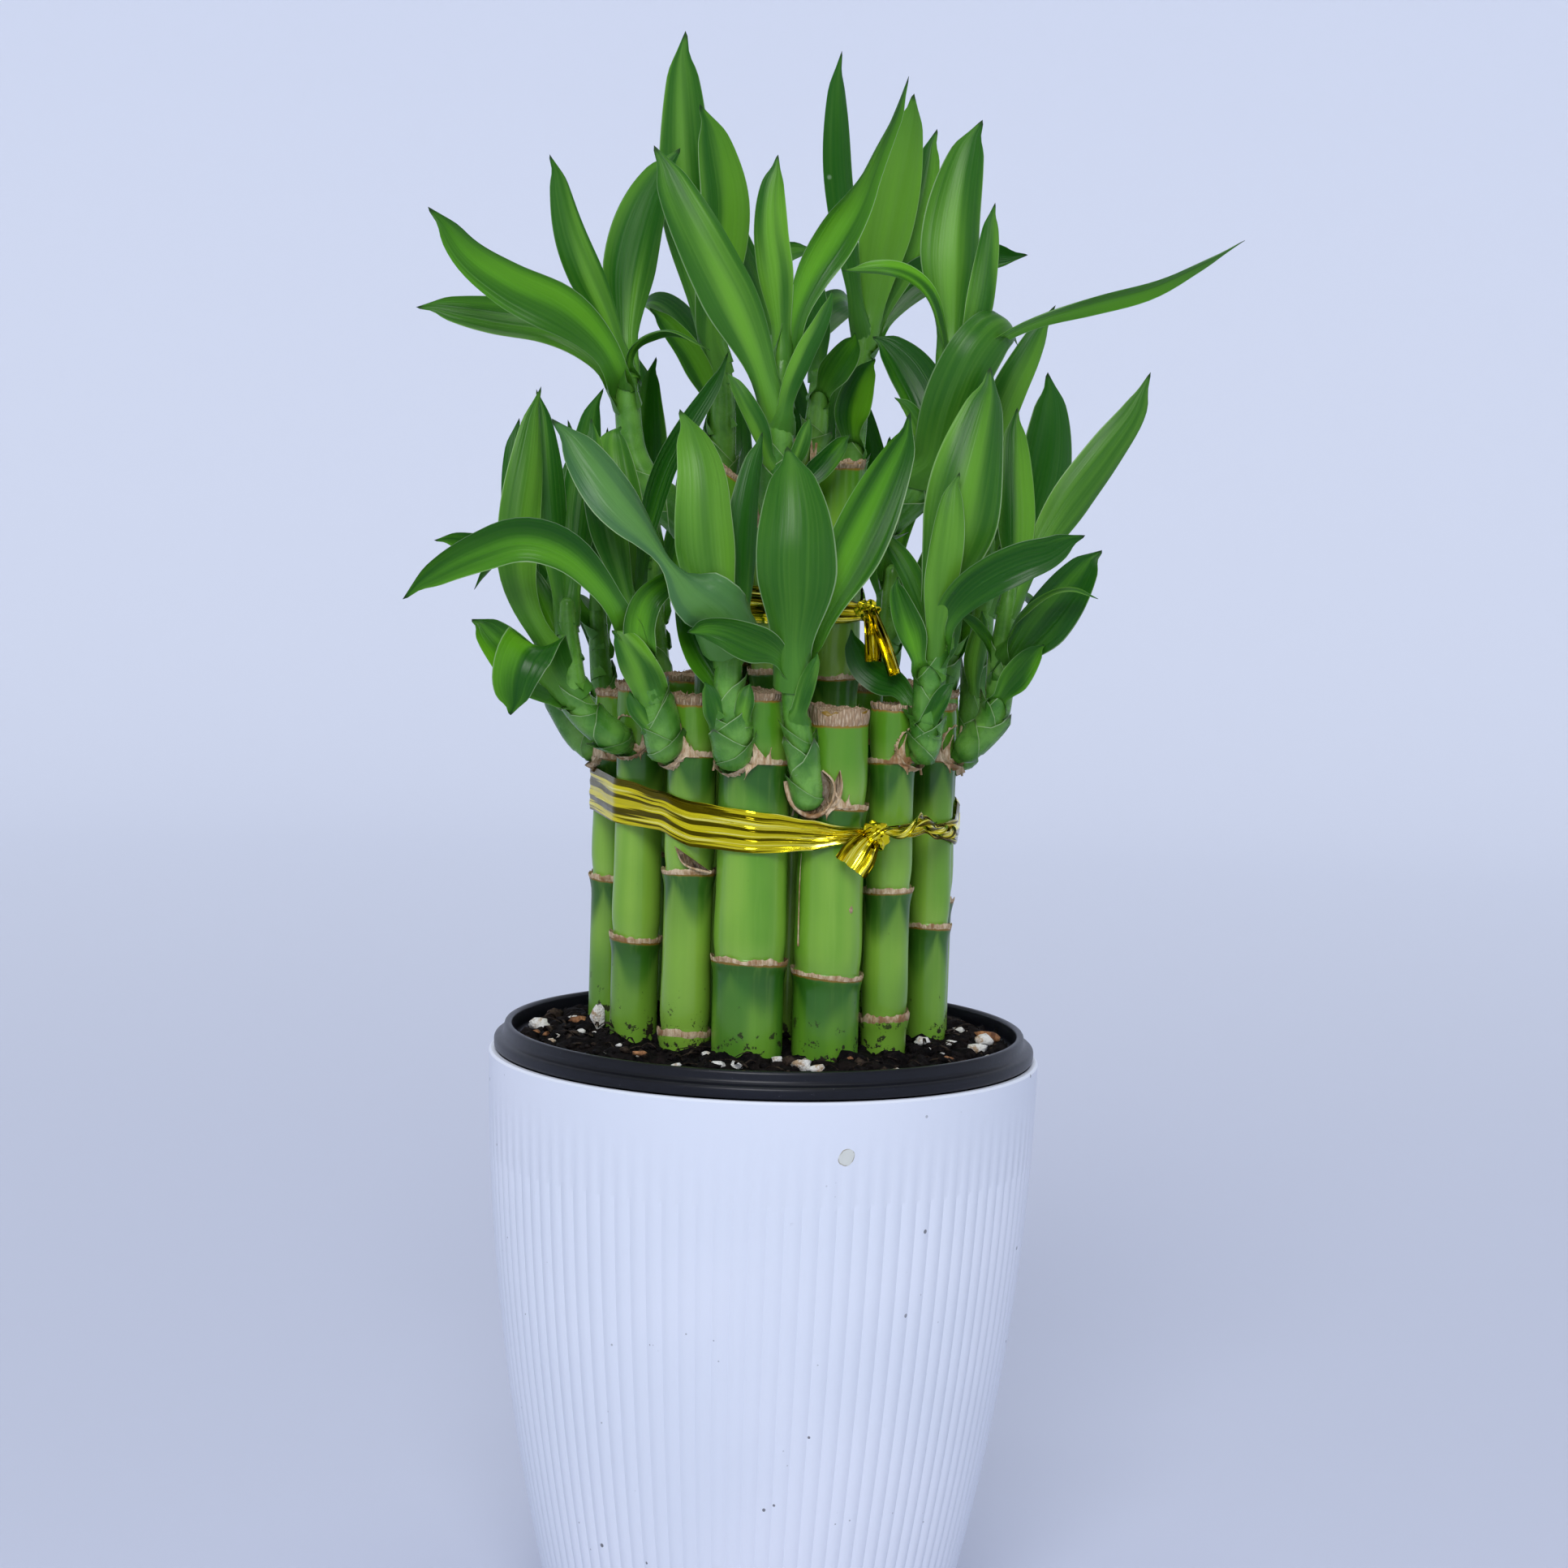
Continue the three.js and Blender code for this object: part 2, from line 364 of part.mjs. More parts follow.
const INNER_TAILS = [
  [4.5, [0, 20], UPPER, [[25.5, 129, -25], [26.5, 122, -27.5], [27, 115, -28]], 0.8],
  [3.5, [0, 40], UPPER, [[26, 129, -25], [29.5, 121, -29.5], [33, 111.5, -32]], 0.8],
];

// A solid from a closed surface with its meeting corners joined, and back
function solidOf(geometry) {
  const bare = new THREE.BufferGeometry();
  bare.setAttribute("position", geometry.getAttribute("position"));
  bare.setIndex(geometry.getIndex());
  const merged = mergeVertices(bare, 1e-4);
  const corners = merged.getIndex().array;
  const triangles = [];
  for (let i = 0; i < corners.length; i += 3) {
    const [a, b, c] = corners.slice(i, i + 3);
    if (a !== b && b !== c && c !== a) triangles.push(a, b, c);
  }
  const mesh = new wasm.Mesh({
    numProp: 3,
    vertProperties: merged.getAttribute("position").array,
    triVerts: Uint32Array.from(triangles),
  });
  return new wasm.Manifold(mesh);
}

function geometryOf(solid) {
  const mesh = solid.getMesh();
  const geometry = new THREE.BufferGeometry();
  geometry.setAttribute("position", new THREE.BufferAttribute(mesh.vertProperties, 3));
  geometry.setIndex(new THREE.BufferAttribute(mesh.triVerts, 1));
  geometry.computeVertexNormals();
  return geometry;
}

function fused(solids) {
  return solids.reduce((whole, solid) => whole.add(solid));
}

function largest(solid) {
  return solid.decompose().sort((a, b) => b.volume() - a.volume())[0];
}

function turned(profile, sides) {
  const points = profile.map(([radius, z]) => new THREE.Vector2(radius, z));
  return new THREE.LatheGeometry(points, sides).rotateX(Math.PI / 2);
}

// A closed skin over rings of points, flat at its start and at its end, or drawn to a tip.
// The faces on both sides of a blade are split the same way.
function loft(rings, tip) {
  const around = rings[0].length;
  const positions = rings.flat().flatMap((point) => point.toArray());
  const corner = (ring, k) => ring * around + (k % around);
  const index = [];
  for (let ring = 0; ring < rings.length - 1; ring += 1) {
    for (let k = 0; k < around; k += 1) {
      const [a, b] = [corner(ring, k), corner(ring, k + 1)];
      const [c, d] = [corner(ring + 1, k + 1), corner(ring + 1, k)];
      if (k % 2) index.push(a, b, c, a, c, d);
      else index.push(a, b, d, b, c, d);
    }
  }
  const last = rings.length - 1;
  for (let k = 1; k < around - 1; k += 1) index.push(corner(0, 0), corner(0, k + 1), corner(0, k));
  if (tip) {
    positions.push(...tip.toArray());
    const end = rings.length * around;
    for (let k = 0; k < around; k += 1) index.push(corner(last, k), corner(last, k + 1), end);
  } else {
    for (let k = 1; k < around - 1; k += 1) index.push(corner(last, 0), corner(last, k), corner(last, k + 1));
  }
  const geometry = new THREE.BufferGeometry();
  geometry.setAttribute("position", new THREE.Float32BufferAttribute(positions, 3));
  geometry.setIndex(index);
  return geometry;
}

// Directions along a curve: forward, out of the face and across, carried without twisting
function framesAlong(points, outward) {
  const curve = new THREE.CatmullRomCurve3(points, false, "catmullrom", 0.5);
  const frames = [];
  let face = outward.clone();
  for (let i = 0; i <= CURVE_STEPS; i += 1) {
    const forward = curve.getTangentAt(i / CURVE_STEPS);
    face = face.clone().addScaledVector(forward, -face.dot(forward)).normalize();
    frames.push({ at: curve.getPointAt(i / CURVE_STEPS), face, across: forward.clone().cross(face) });
  }
  return frames;
}

function between(list, t) {
  const place = t * (list.length - 1);
  const low = Math.min(Math.floor(place), list.length - 2);
  return list[low] + (list[low + 1] - list[low]) * (place - low);
}

// Outline of a leaf: a narrow base, the widest place before the middle and a drawn-out tip
function leafOutline(t, neck) {
  if (t > LEAF_WIDEST) {
    const q = (t - LEAF_WIDEST) / (1 - LEAF_WIDEST);
    return Math.pow(1 - q, 0.85) * (1 + 0.85 * q);
  }
  return neck + (1 - neck) * THREE.MathUtils.smoothstep(t, 0.12, LEAF_WIDEST);
}

function stationsFor(width) {
  if (width < BRACT_WIDTH) return BRACT_STATIONS;
  return width < BROAD_WIDTH ? LEAF_STATIONS : BROAD_STATIONS;
}

function blade([width, turns, side, points, neck = LEAF_NECK], outward, thick = LEAF_THICK) {
  const frames = framesAlong(points, outward);
  const rings = stationsFor(width).map((station) => {
    const t = station / CURVE_STEPS;
    const { at, face, across } = frames[station];
    const turn = THREE.MathUtils.degToRad(turns.length > 1 ? between(turns, t) : turns[0]);
    const out = face.clone().multiplyScalar(Math.cos(turn)).addScaledVector(across, Math.sin(turn));
    const over = across.clone().multiplyScalar(Math.cos(turn)).addScaledVector(face, -Math.sin(turn));
    const half = (width / 2) * leafOutline(t, neck);
    const middle = at.clone().addScaledVector(out, -side * half * LEAF_TROUGH);
    const edge = at.clone().addScaledVector(out, side * half * LEAF_TROUGH);
    return [
      edge.clone().addScaledVector(over, -half),
      middle.clone().addScaledVector(out, thick / 2),
      edge.clone().addScaledVector(over, half),
      middle.clone().addScaledVector(out, -thick / 2),
    ];
  });
  return solidOf(loft(rings, frames[CURVE_STEPS].at));
}

function stemOf(points) {
  const places = points.map(([x, y, z]) => new THREE.Vector3(x, y, z));
  const rings = points.map(([, , , radius], i) => {
    const forward = places[Math.min(i + 1, places.length - 1)].clone()
      .sub(places[Math.max(i - 1, 0)]).normalize();
    const across = new THREE.Vector3(0, 1, 0).cross(forward).normalize();
    const over = forward.clone().cross(across);
    return Array.from({ length: STEM_SIDES }, (_, k) => {
      const angle = (2 * Math.PI * k) / STEM_SIDES;
      return places[i].clone().addScaledVector(across, radius * Math.cos(angle))
        .addScaledVector(over, radius * Math.sin(angle));
    });
  });
  return solidOf(loft(rings));
}

// Pots
function potRadius(drop) {
  return POT_RIM_RADIUS - POT_LEAN * drop - POT_BELLY * drop * drop;
}

function coverPot() {
  const drops = [POT_HEIGHT, 100, 40, 0];
  const outside = turned(
    [[0, 0], ...drops.map((drop) => [potRadius(drop), POT_HEIGHT - drop]), [0, POT_HEIGHT]], 2 * FLUTES);
  const position = outside.getAttribute("position");
  for (let i = 0; i < position.count; i += 1) {
    const [x, y, z] = [position.getX(i), position.getY(i), position.getZ(i)];
    const radius = Math.hypot(x, y);
    const column = Math.round((Math.atan2(y, x) / Math.PI) * FLUTES);
    if (radius < 1 || column % 2 === 0) continue;
    const fade = THREE.MathUtils.smoothstep(POT_HEIGHT - z, FLUTE_START, FLUTE_FULL);
    const scale = (radius - FLUTE_DEPTH * fade) / radius;
    position.setXY(i, x * scale, y * scale);
  }
  const inside = turned([[0, POT_FLOOR],
    ...[POT_HEIGHT - POT_FLOOR, 100, 50, 0].map((drop) => [potRadius(drop) - POT_WALL, POT_HEIGHT - drop]),
    [potRadius(0) - POT_WALL, POT_HEIGHT + 5], [0, POT_HEIGHT + 5]], FLUTES / 2);
  return solidOf(outside).subtract(solidOf(inside));
}

function nurseryPot() {
  const flangeZ = POT_HEIGHT + SEAT;
  const lipInner = LIP_RADIUS - 2;
  const slope = (NURSERY_TOP_RADIUS - NURSERY_BASE_RADIUS) / (flangeZ - NURSERY_BASE_Z);
  return solidOf(turned([
    [0, NURSERY_BASE_Z],
    [NURSERY_BASE_RADIUS, NURSERY_BASE_Z],
    [NURSERY_TOP_RADIUS, flangeZ],
    [FLANGE_RADIUS, flangeZ],
    [FLANGE_RADIUS, flangeZ + FLANGE_THICK],
    [LIP_RADIUS, flangeZ + FLANGE_THICK + 0.6],
    [LIP_RADIUS, NURSERY_RIM_Z - 0.7],
    [LIP_RADIUS - 1, NURSERY_RIM_Z],
    [lipInner, NURSERY_RIM_Z - 0.7],
    [NURSERY_TOP_RADIUS - NURSERY_WALL, flangeZ],
    [NURSERY_BASE_RADIUS - NURSERY_WALL + slope * NURSERY_WALL, NURSERY_BASE_Z + NURSERY_WALL],
    [0, NURSERY_BASE_Z + NURSERY_WALL],
  ], POT_SIDES));
}

function soil() {
  const bottomZ = NURSERY_BASE_Z + NURSERY_WALL + SEAT;
  const slope = (NURSERY_TOP_RADIUS - NURSERY_BASE_RADIUS) / (POT_HEIGHT - NURSERY_BASE_Z);
  const wallAt = (z) => NURSERY_BASE_RADIUS - NURSERY_WALL - 1.5 * SEAT + slope * (z - NURSERY_BASE_Z);
  const body = solidOf(turned([[0, bottomZ], [wallAt(bottomZ), bottomZ], [wallAt(POT_HEIGHT), POT_HEIGHT],
    [wallAt(POT_HEIGHT), SOIL_EDGE_Z], [wallAt(POT_HEIGHT) - 8, SOIL_Z], [0, SOIL_Z + 0.8]], POT_SIDES));
  const holeBottom = SOIL_Z - CANE_DEPTH;
  return CANES.reduce((mix, [, x, y, radius]) => {
    const wide = radius + 1.2 * SEAT;
    const above = SOIL_Z + 5;
    const hole = turned([[0, holeBottom], [wide, holeBottom], [wide, above], [0, above]], CANE_SIDES);
    return mix.subtract(solidOf(hole.translate(x, y, 0)));
  }, body);
}

// Canes
function caneGeometry([name, x, y, radius, top, rings], extra = 0) {
  const bottom = SOIL_Z - CANE_DEPTH + SEAT;
  const profile = [[0, bottom - extra], [radius + extra, bottom - extra]];
  rings.forEach((z) => {
    profile.push([radius + extra, z - NODE_HALF], [radius + NODE_SWELL + extra, z],
      [radius - 0.1 + extra, z + NODE_HALF]);
  });
  profile.push([radius + extra, top + extra], [0, top + extra]);
  const geometry = turned(profile, CANE_SIDES);
  if (name === SLANTED_CANE) {
    const position = geometry.getAttribute("position");
    for (let i = 0; i < position.count; i += 1) {
      if (position.getZ(i) > top - 1) position.setZ(i, position.getZ(i) + SLANT * position.getX(i));
    }
  }
  return geometry.translate(x, y, 0);
}

// Shoots
function caneNamed(name) {
  return CANES.find(([each]) => each === name);
}

function shoot(caneName, stem, leaves, outward) {
  const whole = fused([stemOf(stem), ...leaves.map((leaf) => blade(leaf, outward))]);
  return largest(whole.subtract(solidOf(caneGeometry(caneNamed(caneName), 1.2 * SEAT))));
}

function frontShoot([, caneName, stem, leaves]) {
  const places = stem.map((point) => [...seen(point).toArray(), point[3]]);
  const seenLeaves = leaves.map(([width, turns, side, points, neck]) => (
    [width, turns, side, points.map(seen), neck]));
  return shoot(caneName, places, seenLeaves, TOWARDS_FRONT);
}

function backShoot([, caneName, size, direction]) {
  const [, x, y, radius, , rings] = caneNamed(caneName);
  const angle = THREE.MathUtils.degToRad(direction);
  const outward = new THREE.Vector3(Math.cos(angle), Math.sin(angle), 0);
  const sideways = new THREE.Vector3(0, 0, 1).cross(outward);
  const ring = rings[rings.length - 1];
  const place = ([out, aside, up]) => new THREE.Vector3(x, y, ring + size * up)
    .addScaledVector(outward, radius - 5 + size * out).addScaledVector(sideways, size * aside);
  const stem = BACK_STEM.map((point) => [...place(point).toArray(), size * point[3]]);
  const leaves = BACK_LEAVES.map(([width, turns, points]) => (
    [size * width, turns, UNDER, points.map(place)]));
  return shoot(caneName, stem, leaves, outward);
}

// Ribbons tied round the canes: the outline of the bundle, grown by the gap and the foil
function roundBundle(canes, margin, steps) {
  const outline = [];
  for (let i = 0; i < steps; i += 1) {
    const angle = (2 * Math.PI * i) / steps;
    const way = new THREE.Vector2(Math.cos(angle), Math.sin(angle));
    const reach = ([, x, y, radius]) => x * way.x + y * way.y + radius;
    const [, x, y, radius] = canes.reduce((best, cane) => (reach(cane) > reach(best) ? cane : best));
    outline.push(way.multiplyScalar(radius + NODE_SWELL * 0.4 + margin).add(new THREE.Vector2(x, y)));
  }
  return outline;
}

function edgeHeights(table, x, y) {
  const angle = THREE.MathUtils.radToDeg(Math.atan2(y - RIBBON_CENTRE[1], x - RIBBON_CENTRE[0]));
  const next = table.findIndex(([limit], i) => i > 0 && angle <= limit);
  const [[fromAngle, fromLow, fromHigh], [toAngle, toLow, toHigh]] = table.slice(next - 1, next + 1);
  const t = (angle - fromAngle) / (toAngle - fromAngle);
  return [fromLow + t * (toLow - fromLow), fromHigh + t * (toHigh - fromHigh)];
}

function ribbon(canes, table, steps, [kx, ky, kz, knotRadius], tails) {
  const shape = new THREE.Shape(roundBundle(canes, SEAT + FOIL_THICK, steps));
  shape.holes.push(new THREE.Path(roundBundle(canes, SEAT, steps)));
  const band = new THREE.ExtrudeGeometry(shape, { depth: 1, bevelEnabled: false });
  const position = band.getAttribute("position");
  for (let i = 0; i < position.count; i += 1) {
    const [low, high] = edgeHeights(table, position.getX(i), position.getY(i));
    position.setZ(i, position.getZ(i) > 0.5 ? high : low);
  }
  const knot = new THREE.IcosahedronGeometry(knotRadius, 1).scale(1, 0.6, 0.9)
    .translate(...seen([kx, ky, kz]).toArray());
  const foils = tails.map(([width, turns, side, points, neck]) => (
    blade([width, turns, side, points.map(seen), neck], TOWARDS_FRONT, FOIL_THICK)));
  return largest(fused([solidOf(band), solidOf(knot), ...foils]));
}

// Finishes
const FINISHES = {
  whitePlastic: { color: 0xe6e8ee, roughness: 0.38, metalness: 0 },
  blackPlastic: { color: 0x16171c, roughness: 0.42, metalness: 0 },
  pottingMix: { color: 0x2a2019, roughness: 0.95, metalness: 0 },
  caneGreen: { color: 0x76a83c, roughness: 0.4, metalness: 0 },
  leafGreen: { color: 0x3d7a25, roughness: 0.42, metalness: 0 },
  goldFoil: { color: 0xd8b52c, roughness: 0.22, metalness: 1 },
};

const part = new THREE.Group();

function addPiece(name, solid, finish) {
  const mesh = new THREE.Mesh(geometryOf(solid), new THREE.MeshStandardMaterial(FINISHES[finish]));
  mesh.name = name;
  part.add(mesh);
}

addPiece("cover_pot", coverPot(), "whitePlastic");
addPiece("nursery_pot", nurseryPot(), "blackPlastic");
addPiece("soil", soil(), "pottingMix");
CANES.forEach((cane) => addPiece(cane[0], solidOf(caneGeometry(cane)), "caneGreen"));
FRONT_SHOOTS.forEach((shootRow) => addPiece(shootRow[0], frontShoot(shootRow), "leafGreen"));
BACK_SHOOTS.forEach((shootRow) => addPiece(shootRow[0], backShoot(shootRow), "leafGreen"));
addPiece("outer_ribbon", ribbon(OUTER_CANES, OUTER_RIBBON, 38, OUTER_KNOT, OUTER_TAILS), "goldFoil");
addPiece("inner_ribbon", ribbon(INNER_CANES, INNER_RIBBON, 26, INNER_KNOT, INNER_TAILS), "goldFoil");

export default part;
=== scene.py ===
import math
import random
from bisect import bisect_right

import bmesh
import bpy
from mathutils import Matrix, Vector, noise


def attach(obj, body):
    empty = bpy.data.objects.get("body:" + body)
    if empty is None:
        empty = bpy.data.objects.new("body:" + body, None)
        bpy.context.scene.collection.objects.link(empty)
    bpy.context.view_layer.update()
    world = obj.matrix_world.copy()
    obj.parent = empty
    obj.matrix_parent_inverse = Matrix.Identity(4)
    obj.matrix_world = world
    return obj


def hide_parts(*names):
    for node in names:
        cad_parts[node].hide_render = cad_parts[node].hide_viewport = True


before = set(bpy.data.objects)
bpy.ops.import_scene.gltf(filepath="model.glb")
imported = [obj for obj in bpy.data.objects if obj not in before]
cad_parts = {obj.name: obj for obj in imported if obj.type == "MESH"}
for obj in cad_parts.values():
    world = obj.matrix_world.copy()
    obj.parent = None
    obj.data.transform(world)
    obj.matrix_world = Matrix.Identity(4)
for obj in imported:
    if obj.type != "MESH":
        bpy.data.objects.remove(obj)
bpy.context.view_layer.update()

# Lucky bamboo in its pot. The tables are in millimetres, as in the part's source; each finished
# piece is scaled to metres. The front faces -Y.
MM = 0.001

# Pots
POT_HEIGHT = 165
POT_RIM_RADIUS = 76.4
POT_LEAN = 0.01
POT_BELLY = 0.00077
POT_WALL = 2.4
POT_FLOOR = 3
POT_FOOT_HOLLOW = 0.6
POT_FOOT_INSET = 3
POT_LIP_ROUND = 0.6
POT_STEPS = 3
FLUTES = 100
FLUTE_DEPTH = 0.6
FLUTE_START = 4
FLUTE_FULL = 30
NURSERY_BASE_Z = 25
NURSERY_BASE_RADIUS = 51
NURSERY_WALL = 1.3
NURSERY_TOP_RADIUS = 69.6
FLANGE_RADIUS = 75
FLANGE_THICK = 3.2
LIP_RADIUS = 72.2
LIP_THICK = 2
NURSERY_RIM_Z = 172.4
NURSERY_STEPS = 160
SEAT = 0.3

# Potting mix
SOIL_Z = 170.4
SOIL_EDGE_Z = 168.8
CANE_DEPTH = 48

# Canes and leaves
NODE_SWELL = 0.7
LEAF_NECK = 0.42
LEAF_WIDEST = 0.48
UPPER = 1
UNDER = -1

# The photo's point of view, and the height that points read from the photo count from
EYE = Vector((3.4, -1200, 378))
DATUM = 160
TOWARDS_FRONT = Vector((0, -1, 0))
UP = Vector((0, 0, 1))

# Canes: name, axis x and y, radius, height of the cut top, heights of the node rings
CANES = [
  ["outer_cane_1", -44, 6, 5.4, 264, [212, 246]],
  ["outer_cane_2", -36, -15, 6.5, 268, [198.3, 251.3]],
  ["outer_cane_3", -21.5, -32, 6.6, 266.5, [219.2, 251.2]],
  ["outer_cane_4", -4.5, -39, 9.6, 269, [196.6, 250.9]],
  ["outer_cane_5", 16.5, -36.5, 9, 265, [193.3, 239.5]],
  ["outer_cane_6", 32.5, -26, 6.1, 265.5, [215, 250.5]],
  ["outer_cane_7", 44.5, -6, 5.6, 264, [202.8, 249.3]],
  ["outer_cane_8", 45, 10.5, 6.2, 266, [208, 247]],
  ["outer_cane_9", 37.5, 25.5, 6.8, 267, [200, 250]],
  ["outer_cane_10", 24, 37, 7.2, 265, [214, 249]],
  ["outer_cane_11", 7, 42.5, 7.6, 268, [198, 251]],
  ["outer_cane_12", -10, 41.5, 7, 264, [206, 248]],
  ["outer_cane_13", -26, 34.5, 7.4, 266.5, [216, 252]],
  ["outer_cane_14", -38, 21.5, 6.6, 265, [201, 247]],
  ["inner_cane_1", -15, -8, 7, 327, [275, 303]],
  ["inner_cane_2", 0.5, -17.5, 7.2, 326, [273, 314]],
  ["inner_cane_3", 15.5, -9, 7.2, 330, [272, 306]],
  ["inner_cane_4", 15.5, 9.5, 7, 322, [276, 312]],
  ["inner_cane_5", 1, 17.5, 7.2, 324, [271, 314]],
  ["inner_cane_6", -14, 9.5, 7, 322, [268, 312]],
  ["inner_cane_7", 0.5, 0.5, 7, 335, [290, 326]],
]
OUTER_CANES = CANES[:14]
INNER_CANES = CANES[14:20]
SLANTED_CANE = "inner_cane_1"
SLANT = -0.7
